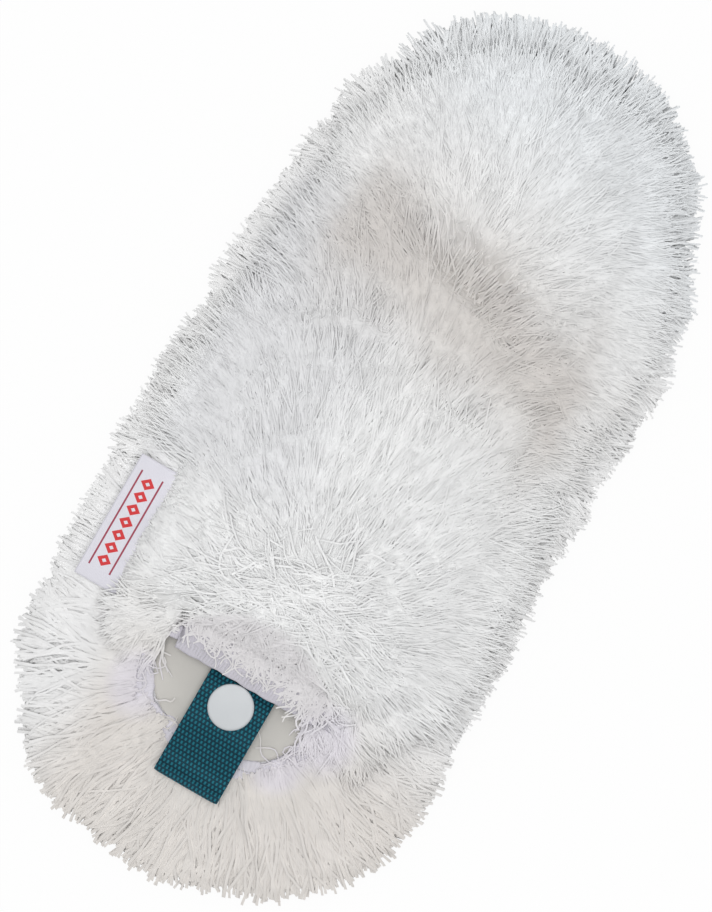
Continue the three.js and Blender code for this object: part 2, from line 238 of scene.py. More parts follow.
def slanted(x, y):  # place along the length, square to the slanted valleys
    return x * math.cos(pileShape["tilt"]) - y * math.sin(pileShape["tilt"])


# Pile yarn: off-white with painted shade at its root, a painted cool tint of light at the closed end,
# painted shade with a brown-grey tint in the valley and painted warm shade round the mouth
yarnLook = {
    # the rim's colour is a lighter copy of the white: painted light on the shaded rim
    "white": (0.945, 0.95, 0.95), "crest": (0.955, 0.96, 0.96), "rim": (0.985, 0.985, 0.985),
    "mouth": (0.93, 0.93, 0.93), "coolLightTint": (0.93, 0.955, 0.975), "warmShadeTint": (0.82, 0.785, 0.75),
    "troughShadeTint": (0.735, 0.70, 0.67), "lilac": (0.84, 0.81, 0.90), "duskShade": (0.81, 0.815, 0.83),
    "frontShade": (0.79, 0.77, 0.785), "rootShade": 0.96, "strandShade": 0.03, "tipShade": 0.02, "softness": 0.92,
    "swell": np.array([165.0 ** 2, 79.0 ** 2, 27.0 ** 2]), "tinted": ((-107, 30, 15), (-92, -34, 16), (-109, -26, 12)),
    "frontShadeTop": -64.5, "frontShadeFall": 17, "troughWay": (0.977, 0.215), "troughAt": 58, "troughHalf": 21,
}


def distance(dx, dy):
    return (dx * dx + dy * dy) ** 0.5


def streaks(finish, where, paceNear, paceFar):  # noise that runs out from the heart of each mound, as the strands do
    spot, x, y, z = where
    bend = (finish.noise(spot, 12, 1.0) - 0.5) * 0.5
    loose = finish.noise(spot, 60 / paceNear, 3.0)

    def fan(centre):
        dx, dy = x - centre[0], y - centre[1]
        far = distance(dx, dy)
        turn = dy.math("ARCTAN2", dx) + bend
        fine, wide = (finish.noise(finish.join3(turn * pace, far * 0.09, z * 0.1), 1.0, 2.5)
                      for pace in (paceFar, paceNear))
        near, distant = 1 - far.over(10, 26), far.over(40, 75)
        return (fine * distant + wide * (1 - distant)) * (1 - near) + loose * near

    toEnd = slanted(x, y).over(25, 70)
    toMouth = 1 - x.over(-96, -80)
    lines = fan(pileShape["whorl"]) * (1 - toEnd) + fan(pileShape["endHeart"]) * toEnd
    return lines * (1 - toMouth) + fan(pileShape["mouthHeart"]) * toMouth


def yarnTone(finish, where, base):  # the yarn's colour, changed patch by patch, with painted light and shade laid over it
    spot, x, y, z = where
    drift = finish.noise(spot, 38, 1.0) - 0.5
    # painted cool tint of the light towards the closed end
    tone = finish.mix((slanted(x, y) + drift * 30).over(75, 150), base, yarnLook["coolLightTint"])
    # painted warm shade round the mouth
    mouthShade = (1 - (x + drift * 20).over(-118, -64)) * (1 - (y + drift * 20).over(32, 60))
    tone = finish.mix(mouthShade, tone, yarnLook["warmShadeTint"])
    faint = 0
    for spotX, spotY, size in yarnLook["tinted"]:  # yarn over the hem takes the hem's tint
        faint = (1 - (distance(x - spotX, y - spotY) + drift * 8).over(size * 0.4, size)) + faint
    tone = finish.mix(faint.math("MINIMUM", 1.0) * 0.6, tone, yarnLook["lilac"])
    # painted grey shade over the middle of the pile's +Y side
    duskShade = (y + drift * 24).over(-4, 26) * (1 - y.over(64, 74)) * x.over(-44, -20) * (1 - x.over(64, 90))
    tone = finish.mix(duskShade * 0.75, tone, yarnLook["duskShade"])
    # painted shade on the front face of the main mound, behind the upper hem and under the arch
    side = (y - pileShape["archMiddle"]) / pileShape["archHalf"]
    arch = yarnLook["frontShadeTop"] - yarnLook["frontShadeFall"] * (side * side).math("MINIMUM", 1.0)
    frontShade = (arch - x - drift * 8).over(-2, 4) * x.over(-92, -86) * z.over(26, 30) * (1 - abs(side).over(0.85, 1.05))
    tone = finish.mix(frontShade * 0.8, tone, yarnLook["frontShade"])
    # painted shade with a brown-grey tint in the slanted valley before the end mound
    wayX, wayY = yarnLook["troughWay"]
    troughShade = (x * wayX - y * wayY + drift * 24 - yarnLook["troughAt"]) / yarnLook["troughHalf"]
    troughShade = 1 / (1 + troughShade * troughShade * troughShade * troughShade)
    troughShade = troughShade * z.over(20, 40) * (1 - (y + drift * 30).over(36, 66)) * 0.9
    return finish.mix(troughShade, tone, yarnLook["troughShadeTint"])


def yarnFinish(name, base, tipShading=0.0, depth=0.20):  # the third argument paints shade that greys the snipped ends, depth is how far the locks differ
    finish = Finish(name, 0.72, 0.25)
    where = finish.place()
    along = finish.stored("along")
    # painted shade: darker towards the root and at the snipped tips
    shade = yarnLook["rootShade"] + (1 - yarnLook["rootShade"]) * along.over(0.0, 0.75)
    shade = shade * (1 - yarnLook["strandShade"] * finish.stored("strand")) * (1 - tipShading * along.over(0.86, 1.0))
    shade = shade * (1 - depth * 0.5 + depth * streaks(finish, where, 7, 13))
    finish.tint(yarnTone(finish, where, base), shade)
    return finish.material


def bedFinish(name, base):
    finish = Finish(name, 0.85, 0.15)
    where = finish.place()
    lines, broad = streaks(finish, where, 30, 75), streaks(finish, where, 7, 13)
    finish.tint(yarnTone(finish, where, base), (0.92 + 0.12 * lines) * (0.9 + 0.2 * broad))
    finish.bump(lines, 0.9)
    return finish.material


whiteYarn = yarnFinish("white_yarn", yarnLook["white"])
crestYarn = yarnFinish("crest_yarn", yarnLook["crest"])
# a lighter copy of the white yarn, painted light that lifts the shaded rim
rimYarnPaintedLight = yarnFinish("rim_yarn_painted_light", yarnLook["rim"], yarnLook["tipShade"])
warmYarn = yarnFinish("warm_yarn", yarnLook["mouth"], yarnLook["tipShade"], 0.30)

rim = np.array(pileShape["right"] + pileShape["left"][::-1]) * 1.01
rimAngle = np.arctan2(rim[:, 1], rim[:, 0])
rimOrder = np.argsort(rimAngle)
rimAngle, rimReach = rimAngle[rimOrder], np.hypot(rim[:, 0], rim[:, 1])[rimOrder]


def rimAt(turn):  # the outline's reach in one direction
    return np.interp(turn, rimAngle, rimReach, period=2 * math.pi)


def pileShare(x, y):  # 1 on the outline of the pile
    return np.hypot(x, y) / rimAt(np.arctan2(y, x))


def panelPower(x):  # how square the backing's outline is
    return np.where(x < pileShape["panelMiddle"], pileShape["mouthPower"], pileShape["endPower"])


def panelShare(x, y):  # 1 on the outline of the backing
    dx = np.abs(x - pileShape["panelMiddle"]) / pileShape["panelHalf"][0]
    dy = np.abs(y) / pileShape["panelHalf"][1]
    return (dx ** panelPower(x) + dy ** panelPower(x)) ** (1 / panelPower(x))


def panelInset(x, y):  # distance in from the backing's edge
    acrossX = panelShare(x + 0.5, y) - panelShare(x - 0.5, y)
    acrossY = panelShare(x, y + 0.5) - panelShare(x, y - 0.5)
    return (1 - panelShare(x, y)) / np.maximum(np.hypot(acrossX, acrossY), 1e-4)


def slope(values, *stops):  # value by place, from (place, value) pairs
    places, levels = zip(*stops)
    return np.interp(values, places, levels)


def upperSurface(x, y):  # height of the upper backing, falling over its shoulder to the seam
    rise = slope(panelInset(x, y), (0, 0), (3.2, 0.48), (8.4, 0.85), (13, 1))
    return seamHigh[2] + (upperHigh[2] - seamHigh[2]) * rise


def roomAhead(root, heading):  # distance from a root to the outline
    near, far = np.zeros(len(root)), np.full(len(root), 260.0)
    for _ in range(22):
        middle = (near + far) / 2
        inside = pileShare(root[:, 0] + middle * np.cos(heading), root[:, 1] + middle * np.sin(heading)) < 1
        near, far = np.where(inside, middle, near), np.where(inside, far, middle)
    return near


def offMiddle(y):  # distance to the side of the mouth's middle
    return np.abs(y - pileShape["archMiddle"])


# A sweep carries a closed section along every line at once
def sectionOf(name, corners):
    curve = bpy.data.curves.new(name, "CURVE")
    curve.dimensions = "2D"
    outline = curve.splines.new("POLY")
    outline.points.add(len(corners) - 1)
    outline.use_cyclic_u = True
    for point, (across, up) in zip(outline.points, corners):
        point.co = (across, up, 0, 1)
    return addObject(name, curve)


def sweep(name, section, lines, radii, upright=False):
    curve = bpy.data.curves.new(name, "CURVE")
    curve.dimensions = "3D"
    if upright:
        curve.twist_mode = "Z_UP"
    curve.bevel_mode, curve.bevel_object, curve.use_fill_caps = "OBJECT", section, True
    places = np.ones(lines.shape[:2] + (4,), np.float32)
    places[:, :, :3] = lines * mm
    for line, radius in zip(places, radii.astype(np.float32)):
        spline = curve.splines.new("POLY")
        spline.points.add(len(line) - 1)
        spline.points.foreach_set("co", line.ravel())
        spline.points.foreach_set("radius", radius)
    holder = addObject(name + "Lines", curve)
    depsgraph = bpy.context.evaluated_depsgraph_get()
    mesh = bpy.data.meshes.new_from_object(holder.evaluated_get(depsgraph), depsgraph=depsgraph)
    bpy.data.objects.remove(holder)
    bpy.data.curves.remove(curve)
    mesh.name = name
    return mesh


def store(mesh, title, values):
    mesh.attributes.new(title, "FLOAT", "POINT").data.foreach_set("value", np.array(values, np.float32))


def unit(vectors):
    return vectors / np.maximum(np.linalg.norm(vectors, axis=1, keepdims=True), 1e-6)


thirds = [number * 2 * math.pi / 3 for number in range(3)]  # taken clockwise, so that the strands face outward
yarnSection = sectionOf("yarnSection", [(math.cos(turn), -math.sin(turn)) for turn in thirds])


def strandMesh(name, lines, radii, values, softness):  # each strand has its own cell of the bake map
    count, points = lines.shape[:2]
    mesh = sweep(name, yarnSection, lines, radii * mm)

    # end caps come first, last strand foremost, then the sides in order
    capEnd = 1 - np.arange(6 * count) % 6 // 3
    capStrand = count - 1 - np.arange(6 * count) // 6
    sidePoint = np.arange(3 * points * count)
    store(mesh, "along", np.concatenate([capEnd, sidePoint % (3 * points) // 3 / (points - 1)]))
    store(mesh, "strand", values[np.concatenate([capStrand, sidePoint // (3 * points)])])
    layer = mesh.uv_layers[0]
    layer.name = "OFBake"
    spots = np.zeros(len(mesh.loops) * 2, np.float32)
    layer.data.foreach_get("uv", spots)
    spots = spots.reshape(-1, 2)
    spots[:6 * count] = spots[:6 * count] * (0.35, 0.14) + np.stack([0.55 * capEnd + 0.05, 0.84 + 0 * capEnd], 1)
    spots[6 * count:, 1] *= 0.76
    cell = np.concatenate([capStrand, np.repeat(np.arange(count), 12 * (points - 1))])
    columns = math.ceil(math.sqrt(count))
    spots = (0.07 + 0.86 * spots + np.stack([cell % columns, cell // columns], 1)) / columns
    layer.data.foreach_set("uv", spots.astype(np.float32).ravel())

    shell = bmesh.new()
    shell.from_mesh(mesh)
    bmesh.ops.remove_doubles(shell, verts=shell.verts, dist=1e-7)
    for face in shell.faces:
        face.smooth = True
    shell.to_mesh(mesh)
    shell.free()

    # yarn is fluffy, so a strand is shaded partly as the pile that it lies in
    spots, own = (np.zeros(len(mesh.vertices) * 3, np.float32) for _ in range(2))
    mesh.vertices.foreach_get("co", spots)
    mesh.vertex_normals.foreach_get("vector", own)
    swell = unit((spots.reshape(-1, 3) / mm + (0, 0, 15)) / yarnLook["swell"])
    mesh.normals_split_custom_set_from_vertices(unit(swell * softness + own.reshape(-1, 3) * (1 - softness)))
    return mesh


# Height of the pile's top and underside on a grid, taken from the solids
grid = {"cell": 3.0, "across": np.arange(-87, 87.1, 3.0), "along": np.arange(-171, 171.1, 3.0)}
pileNodes = ["main_mound", "middle_mound", "end_mound", "side_pile_left", "side_pile_right", "end_pile", "lower_pile"]


def around(field):  # each cell's nine neighbours, itself among them
    framed = np.pad(field, 1, mode="edge")
    rows, columns = field.shape
    return np.array([framed[i:i + rows, j:j + columns] for i in range(3) for j in range(3)])


def solidHeights(start, way):
    corners, faces = [], []
    for node in pileNodes:
        solid = bpy.data.objects[node]
        base = len(corners)
        corners += [tuple(solid.matrix_world @ vert.co) for vert in solid.data.vertices]
        faces += [tuple(base + v for v in face.vertices) for face in solid.data.polygons]
    tree = BVHTree.FromPolygons(corners, faces)
    field = np.full((len(grid["along"]), len(grid["across"])), np.nan)
    for i, x in enumerate(grid["along"]):
        for j, y in enumerate(grid["across"]):
            hit = tree.ray_cast(Vector((x * mm, y * mm, start * mm)), Vector((0, 0, way)))[0]
            if hit:
                field[i, j] = hit.z / mm
    while np.isnan(field).any():  # carried out past the outline
        spread = around(field)
        known = ~np.isnan(spread)
        total, number = np.where(known, spread, 0).sum(0), known.sum(0)
        field = np.where(np.isnan(field) & (number > 0), total / np.maximum(number, 1), field)
    return around(field).mean(0)


def level(field, x, y):
    i = np.clip((x - grid["along"][0]) / grid["cell"], 0, len(grid["along"]) - 1.001)
    j = np.clip((y - grid["across"][0]) / grid["cell"], 0, len(grid["across"]) - 1.001)
    a, b = i.astype(int), j.astype(int)
    u, v = i - a, j - b
    near = field[a, b] * (1 - u) + field[a + 1, b] * u
    return near * (1 - v) + (field[a, b + 1] * (1 - u) + field[a + 1, b + 1] * u) * v


topField, lowField = solidHeights(100, -1), solidHeights(-100, 1)
print("pile heights", round(float(topField.max()), 1), round(float(lowField.min()), 1))


def scatter(dice, count, low, high, density):  # roots spread at random where density says
    found = np.zeros((0, 2))
    while len(found) < count:
        tries = dice.uniform(low, high, (count * 3, 2))
        found = np.concatenate([found, tries[dice.random(len(tries)) < density(tries[:, 0], tries[:, 1])]])
    return found[:count]


def tuftNoise(x, y, size, seed):  # slow drift between -1 and 1
    turns = np.random.default_rng(seed).uniform(0, 2 * math.pi, (5, 2))
    waves = (np.sin((x * math.cos(a) + y * math.sin(a)) / size * (1 + 0.35 * n) + b) for n, (a, b) in enumerate(turns))
    return sum(waves) / 3


def locks(x, y):  # relief of the locks, which run out from the whorl and from the heart of the closed end
    toEnd = slope(slanted(x, y), (25, 0), (70, 1))
    total = 0
    for (cx, cy), share, seed in ((pileShape["whorl"], 1 - toEnd, 71), (pileShape["endHeart"], toEnd, 74)):
        turn, far = np.arctan2(y - cy, x - cx), np.hypot(x - cx, y - cy)
        swirl = turn + 0.22 * tuftNoise(x, y, 15, seed + 1)
        wave = tuftNoise(swirl * 17, far * 0.30, 1.0, seed) * slope(np.abs(turn), (2.5, 1), (3.1, 0))
        total = total + share * wave * slope(far, (6, 0.2), (26, 1))
    return pileShape["lockRise"] * (total - 0.7)


def growTufts(dice, root, height, heading, reach, target, look, settle):
    # a tuft is one guide line with strands beside it, which settles on the target height part of the way out
    count, each = len(root), look["strands"]
    t = np.linspace(0, 1, look["points"])
    shape = (count, each)
    turn = heading[:, None] + dice.normal(0, look["fan"], shape)
    curl = dice.normal(0, look["curl"], count)[:, None] + dice.normal(0, look["curl"] * 0.5, shape)
    far = reach[:, None] * dice.uniform(look["even"], 1, shape)
    angle = turn[..., None] + curl[..., None] * (t - 0.25)
    step = np.diff(far[..., None] * t, axis=-1, prepend=0)
    atRoot, atTip = (dice.normal(0, look[end], shape + (2,))[..., None] for end in ("rootSpread", "tipSpread"))
    apart = atRoot * (1 - t) + atTip * t
    phase = (dice.uniform(0, 2 * math.pi, count)[:, None] + dice.normal(0, 0.5, shape))[..., None]
    sway = look["wave"] * np.sin(phase + t * look["waves"] * 2 * math.pi) * np.minimum(t * 3, 1)
    across = apart[:, :, 0] + sway
    x = root[:, 0, None, None] + np.cumsum(step * np.cos(angle), -1) - across * np.sin(turn)[..., None]
    y = root[:, 1, None, None] + np.cumsum(step * np.sin(angle), -1) + across * np.cos(turn)[..., None]
    share = np.minimum(t / settle, 1)
    share = share * share * (3 - 2 * share)
    z = height[:, None, None] * (1 - share) + target(x, y) * share
    z = z + apart[:, :, 1] * 0.7 + 0.5 * look["wave"] * np.cos(phase * 1.7 + t * look["waves"] * 2 * math.pi) * t
    z = np.maximum(z, 0.6 + 1.6 * dice.random(shape)[..., None])
    lines = np.stack([x, y, z], -1).reshape(count * each, len(t), 3)
    taper = slope(t, (0, 0.8), (0.15, 1), (0.8, 1), (1, look["end"]))
    radii = look["thick"] / 2 * dice.uniform(0.8, 1.2, (count * each, 1)) * taper
    values = np.clip(0.6 * np.repeat(dice.random(count), each) + 0.4 * dice.random(count * each), 0, 1)
    return lines, radii, values


def together(groups):
    return [np.concatenate(part) for part in zip(*groups)]


def pilePiece(name, strands, node, finish, body="cover"):
    piece = addPiece(name, strandMesh(name, *strands, yarnLook["softness"]), finish, [node] if node else [], body)
    print(name, len(strands[0]), "strands")
    return piece


softYarn = {"strands": 5, "points": 5, "thick": 0.62, "end": 0.5, "fan": 0.10, "curl": 0.28, "even": 0.78,
            "rootSpread": 1.3, "tipSpread": 1.1, "wave": 0.7, "waves": 1.3}
strayYarn = {**softYarn, "strands": 1, "thick": 0.8, "end": 0.9, "curl": 0.8, "wave": 1.4, "points": 8}
fringeYarn = {"strands": 4, "points": 6, "thick": 0.88, "end": 0.9, "fan": 0.05, "curl": 0.36, "even": 0.92,
              "rootSpread": 0.9, "tipSpread": 0.8, "wave": 1.0, "waves": 1.3}
mouthYarn = {"strands": 3, "points": 7, "thick": 1.15, "end": 1.1, "fan": 0.08, "curl": 0.55, "even": 0.88,
             "rootSpread": 1.0, "tipSpread": 1.1, "wave": 1.5, "waves": 1.2}
looseYarn = {**mouthYarn, "strands": 1, "points": 9, "thick": 0.62, "end": 0.9, "wave": 0.8,
             "rootSpread": 0.1, "tipSpread": 0.3}

# Pile of the upper face: three mounds parted by slanted valleys, crossing locks at the crest
# and tufts over the hem's corners
mounds = {
    "main": {"tufts": 1100, "from": -200, "to": 2, "reach": 39, "deep": 1.9, "settle": 0.5},
    "middle": {"tufts": 1500, "from": 2, "to": 66, "reach": 34, "deep": 1.8, "settle": 0.5},
    "end": {"tufts": 1400, "from": 66, "to": 200, "reach": 37, "deep": 1.9, "settle": 0.5},
    "crestTufts": 260, "strays": 110, "cornerTufts": 240, "cornerHeight": 29.0, "cornerLowest": 23.5,
}


def frontLine(y):  # the long yarn of the main mound ends along an arch
    side = (y - pileShape["archMiddle"]) / pileShape["archHalf"]
    return pileShape["archTop"] - pileShape["archFall"] * np.minimum(side ** 2, 1)


def stopAtFront(dice, root, heading, reach, spare, widest):  # yarn that heads for the mouth ends at the arch
    tipY = root[:, 1] + reach * np.sin(heading)
    toFront = frontLine(tipY) + spare - 4 * dice.random(len(root)) - root[:, 0]
    toFront = toFront / np.minimum(np.cos(heading), -0.05)
    stopped = (np.abs(tipY) < widest) & (np.cos(heading) < -0.05)
    return np.where(stopped, np.minimum(reach, np.maximum(toFront, 4)), reach)


def topStrands(seed, mound):
    def density(x, y):
        lx = slanted(x, y)
        front = np.where(offMiddle(y) < 29, x > frontLine(y) + 4, x > fringes["sideFrom"])
        inside = (panelShare(x, y) < 0.99) & (lx >= mound["from"]) & (lx < mound["to"]) & front
        return inside * slope(x, (-80, 0.35), (-66, 1.0)) * slope(panelInset(x, y), (0, 1.0), (12, 0.85), (30, 0.7))

    dice = np.random.default_rng(seed)
    count = mound["tufts"]
    root = scatter(dice, count, (-90, -43), (126, 43), density)
    x, y = root.T
    wx, wy = pileShape["whorl"]
    hx, hy = pileShape["endHeart"]
    fromWhorl = np.arctan2(y - wy, np.where(x < wx, 0.5, 1.0) * (x - wx) + 3)
    fromEnd = np.arctan2((y - hy) * 1.15, np.maximum(x - hx, 4))
    toEnd = slope(slanted(x, y), (20, 0.0), (64, 1.0))
    heading = fromWhorl * (1 - toEnd) + fromEnd * toEnd
    sideways = slope(panelInset(x, y), (0, 0.75), (22, 0.0)) * slope(x, (-70, 0), (-40, 1), (80, 1), (110, 0.3))
    heading = heading * (1 - sideways) + np.sign(y) * math.pi / 2 * 0.9 * sideways
    unrest = slope(np.hypot(x - wx, y - wy), (4, 0.6), (26, 0.15))
    heading = heading + 0.22 * tuftNoise(x, y, 9, 5) + dice.normal(0, 1, count) * unrest
    side = np.where(np.abs(y - wy) < 4, np.where(dice.random(count) < 0.5, -1, 1), np.sign(y - wy))
    parting = slope(x, (-66, 1.0), (-50, 0.0))  # in front of the whorl the yarn is parted to both sides
    aside = side * np.clip(np.abs(heading), 1.35, np.where(side > 0, 2.3, 1.95))
    heading = np.where(x < -50, heading * (1 - parting) + aside * parting, heading)
    reach = mound["reach"] * dice.uniform(0.85, 1.05, count) * slope(x, (-80, 0.6), (-60, 1))
    reach = np.minimum(reach, roomAhead(root, heading) * dice.uniform(0.9, 1.0, count))
    reach = stopAtFront(dice, root, heading, reach, 1.5, 30)
    overLabel = (x > -90) & (x < -34) & (np.sin(heading) > 0.3)
    toLabel = (pileShape["labelEdge"] + 2 * dice.random(count) - y) / np.maximum(np.sin(heading), 0.3)
    reach = np.where(overLabel, np.minimum(reach, toLabel), reach)
    deep = (mound["deep"] * dice.random(count) + 0.3)[:, None, None]
    target = lambda px, py: np.maximum(level(topField, px, py) + locks(px, py) - deep, upperSurface(px, py) + 0.6)
    reach = np.maximum(reach, 8)
    return growTufts(dice, root, upperSurface(x, y) + 0.2, heading, reach, target, softYarn, mound["settle"])


def crestStrands(seed, count, look):  # long locks that lie across each other round the whorl
    dice = np.random.default_rng(seed)
    wx, wy = pileShape["whorl"]
    root = np.stack([wx + dice.normal(1, 9, count), wy + dice.normal(2, 12, count)], 1)
    root = root[(root[:, 0] > -76) & (np.abs(root[:, 1]) < 34)]
    count = len(root)
    pick = dice.random(count)
    toLeft, toRight = dice.normal(2.0, 0.35, count), dice.normal(-1.6, 0.5, count)
    anyWay = dice.uniform(-3.1, 3.1, count)
    heading = np.where(pick < 0.45, toLeft, np.where(pick < 0.88, toRight, anyWay))
    reach = stopAtFront(dice, root, heading, dice.uniform(18, 34, count), 1, 200)
    toLabel = (pileShape["labelEdge"] - 1 - root[:, 1]) / np.maximum(np.sin(heading), 0.3)
    reach = np.where(np.sin(heading) > 0.3, np.minimum(reach, toLabel), reach)
    deep = dice.uniform(-1.3, 0.7, count)[:, None, None]
    target = lambda px, py: level(topField, px, py) + locks(px, py) - deep
    return growTufts(dice, root, upperSurface(*root.T) + 0.3, heading, reach, target, look, 0.4)


def cornerStrands(seed, count):  # tufts that fall over both ends of the upper hem
    dice = np.random.default_rng(seed)
    side = np.where(dice.random(count) < 0.5, -1, 1)
    root = np.stack([dice.uniform(-85, -78, count), side * dice.uniform(np.where(side > 0, 30, 24), 40, count) - 1], 1)
    heading = side * dice.normal(2.4, 0.35, count)
    deep = dice.uniform(-0.6, 1.0, count)[:, None, None]
    reach = dice.uniform(15, 25, count)
    target = lambda px, py: np.maximum(level(topField, px, py) - deep, mounds["cornerLowest"])
    start = np.full(count, mounds["cornerHeight"])
    return growTufts(dice, root, start, heading, reach, target, {**softYarn, "thick": 0.75}, 0.4)


# Fringe rooted along the side seam and the lower hem, in layers from top to bottom. A layer has its share
# of the tufts, the root's height, its place between underside (0) and top (1), and the root's inset
fringes = {
    "spine": (-85, 80), "sideTufts": 850, "endTufts": 800, "mouthTufts": 1720, "underTufts": 1200, "droop": 0.5,
    "sideFrom": -86, "sideTo": 78, "mouthFrom": -84, "strapHalf": 16, "underStrap": 20.6, "backing": 20.5,
    "layers": [(0.38, 24.5, (0.88, 1.0), (-1, 2)), (0.26, 22.5, (0.55, 0.85), (0, 3)),
               (0.36, 20.0, (0.0, 0.5), (2.5, 5.5))],
    "mouthLayers": [(0.42, 22.7, (0.84, 1.0), (-1, 6.2)), (0.24, 19.6, (0.5, 0.85), (1, 4)),
                    (0.34, 18.5, (0.0, 0.5), (2.5, 5.5))],
}


def fringeStrands(seed, count, keep, layers=fringes["layers"], look=fringeYarn):
    dice = np.random.default_rng(seed)
    strands = []
    for share, rootZ, place, inset in layers:
        number = int(count * share)

        def band(x, y):
            thin = (inset[1] > 5.5) & (tuftNoise(x, y, 6, 77) < 0.05)
            deepest = np.where(thin, inset[1] - 3.5, inset[1])
            return keep(x, y) & (panelShare(x, y) < 1) & (panelInset(x, y) > inset[0]) & (panelInset(x, y) < deepest)

        root = scatter(dice, number, (-122, -43), (127, 43), band)
        x, y = root.T
        heading = np.arctan2(y, x - np.clip(x, *fringes["spine"])) + 0.20 * tuftNoise(x, y, 5, 21)
        heading = heading + dice.normal(0, 0.09, number)
        ragged = 0.955 + 0.05 * tuftNoise(x, y, 3.2, 4) + dice.uniform(-0.06, 0.05, number)
        reach = roomAhead(root, heading) * np.minimum(ragged, 1.03)
        part = dice.uniform(*place, number)
        reach, part = reach * (0.94 + 0.06 * part), part[:, None, None]
        target = lambda px, py: level(lowField, px, py) * (1 - part) + level(topField, px, py) * part + 1.2 - 2.4 * part
        height = np.where(offMiddle(y) < fringes["strapHalf"], np.minimum(rootZ, fringes["underStrap"]), rootZ)
        lines, radii, values = growTufts(dice, root, height, heading, reach, target, look, 0.8)
        low = (1 - 0.45 * np.repeat(part.ravel(), look["strands"]))[:, None]  # the lower ends hang down to the floor
        sag = 1 - fringes["droop"] * low * np.linspace(0, 1, look["points"]) ** 2.5
        lines[..., 2] = np.maximum(lines[..., 2] * sag, 0.6)
        strands.append((lines, radii, values))
    return together(strands)


def underStrands(seed, count):
    dice = np.random.default_rng(seed)
    root = scatter(dice, count, (-118, -41), (124, 41), lambda x, y: panelInset(x, y) > 3)
    x, y = root.T
    heading = np.arctan2(y, x - np.clip(x, *fringes["spine"])) + dice.normal(0, 0.3, count)
    reach = np.minimum(44 * dice.uniform(0.85, 1.05, count), roomAhead(root, heading) * 0.88)
    deep = dice.uniform(0.5, 3.2, count)[:, None, None]
    target = lambda px, py: level(lowField, px, py) + deep
    lines, radii, values = growTufts(dice, root, np.full(count, 19.7), heading, reach, target, softYarn, 0.5)
    lines[..., 2] = np.minimum(lines[..., 2], fringes["backing"])  # rooted in the backing, not through it
    return lines, radii, values


def towardMouth(x, y):
    return math.pi


def roundMouth(x, y):
    return np.arctan2(y, x + 100) + math.pi / 2


# Single curled yarns: over the upper hem, over its right end, over the mound's front and on the mouth's rim
curls = {
    "lip": {"seed": 51, "count": 230, "low": (-79, -32), "high": (-70, 27), "bend": 1.9, "reach": (7, 13)},
    "lipEnd": {"seed": 53, "count": 90, "low": (-82, -32), "high": (-74, -20), "bend": 1.1, "reach": (8, 14)},
    "front": {"seed": 54, "count": 420, "low": (-78, -30), "high": (-60, 26), "bend": 1.9, "reach": (7, 14)},
    "rim": {"seed": 52, "count": 46, "low": (-118, -40), "high": (-88, 40), "bend": 2.0, "reach": (9, 16)},
    "rimHeight": 22.7, "hinge": -75.5, "hingeEnd": -79.5,
}


def looseStrands(patch, heading, height, keep=lambda x, y: x < 0):  # without a height they lie on the mound
    dice = np.random.default_rng(patch["seed"])
    count = patch["count"]
    root = scatter(dice, count, patch["low"], patch["high"], keep)
    turn = heading(*root.T) + dice.normal(0, 0.7, count)
    rise = dice.uniform(0.1, 0.9, count)[:, None, None]
    if height is None:
        target = lambda px, py: np.maximum(level(topField, px, py) + locks(px, py), lipHigh[2]) + rise
        start = np.maximum(level(topField, *root.T) - 2, lipHigh[2] - 0.3)
    else:
        target = lambda px, py: height + rise
        start = np.full(count, height - 0.2)
    reach = dice.uniform(*patch["reach"], count)
    return growTufts(dice, root, start, turn, reach, target, {**looseYarn, "curl": patch["bend"]}, 0.3)


def inMouthRim(x, y):
    return (panelInset(x, y) > 4) & (panelInset(x, y) < 8) & (offMiddle(y) > 17)


def onFront(x, y):
    return (x < frontLine(y) + 3) & (offMiddle(y) < 28)


def onSide(side):
    return lambda x, y: (x > fringes["sideFrom"]) & (x < fringes["sideTo"]) & (y * side > 0)


def atEnd(x, y):
    return x >= fringes["sideTo"]


def atMouth(x, y):
    return x <= fringes["mouthFrom"]


for letter, seed in (("a", 31), ("b", 32), ("c", 36)):
    pilePiece("main_yarn_" + letter, topStrands(seed, mounds["main"]), "main_mound", whiteYarn)
pilePiece("crest_yarn", crestStrands(37, mounds["crestTufts"], {**softYarn, "curl": 0.4}), "main_mound", crestYarn)
pilePiece("stray_yarn", crestStrands(38, mounds["strays"], strayYarn), "main_mound", crestYarn)
pilePiece("middle_yarn", topStrands(33, mounds["middle"]), "middle_mound", whiteYarn)
for letter, seed in (("a", 34), ("b", 35)):
    pilePiece("end_yarn_" + letter, topStrands(seed, mounds["end"]), "end_mound", whiteYarn)
pilePiece("left_yarn", fringeStrands(41, fringes["sideTufts"], onSide(1)), "side_pile_left", rimYarnPaintedLight)
pilePiece("right_yarn", fringeStrands(42, fringes["sideTufts"], onSide(-1)), "side_pile_right", rimYarnPaintedLight)
pilePiece("end_fringe_yarn", fringeStrands(43, fringes["endTufts"], atEnd), "end_pile", rimYarnPaintedLight)
mouthStrands = fringeStrands(44, fringes["mouthTufts"], atMouth, fringes["mouthLayers"], mouthYarn)
pilePiece("mouth_fringe_yarn", mouthStrands, "lower_pile", warmYarn)
pilePiece("corner_yarn", cornerStrands(55, mounds["cornerTufts"]), "main_mound", whiteYarn)
pilePiece("rim_loops", looseStrands(curls["rim"], roundMouth, curls["rimHeight"], inMouthRim), None, warmYarn)
pilePiece("under_yarn", underStrands(45, fringes["underTufts"]), "lower_pile", warmYarn)
lipLoops = together([looseStrands(curls["lip"], towardMouth, lipHigh[2]),
                     looseStrands(curls["lipEnd"], lambda x, y: math.pi - 0.3, lipHigh[2])])
frontLoops = looseStrands(curls["front"], towardMouth, None, onFront)
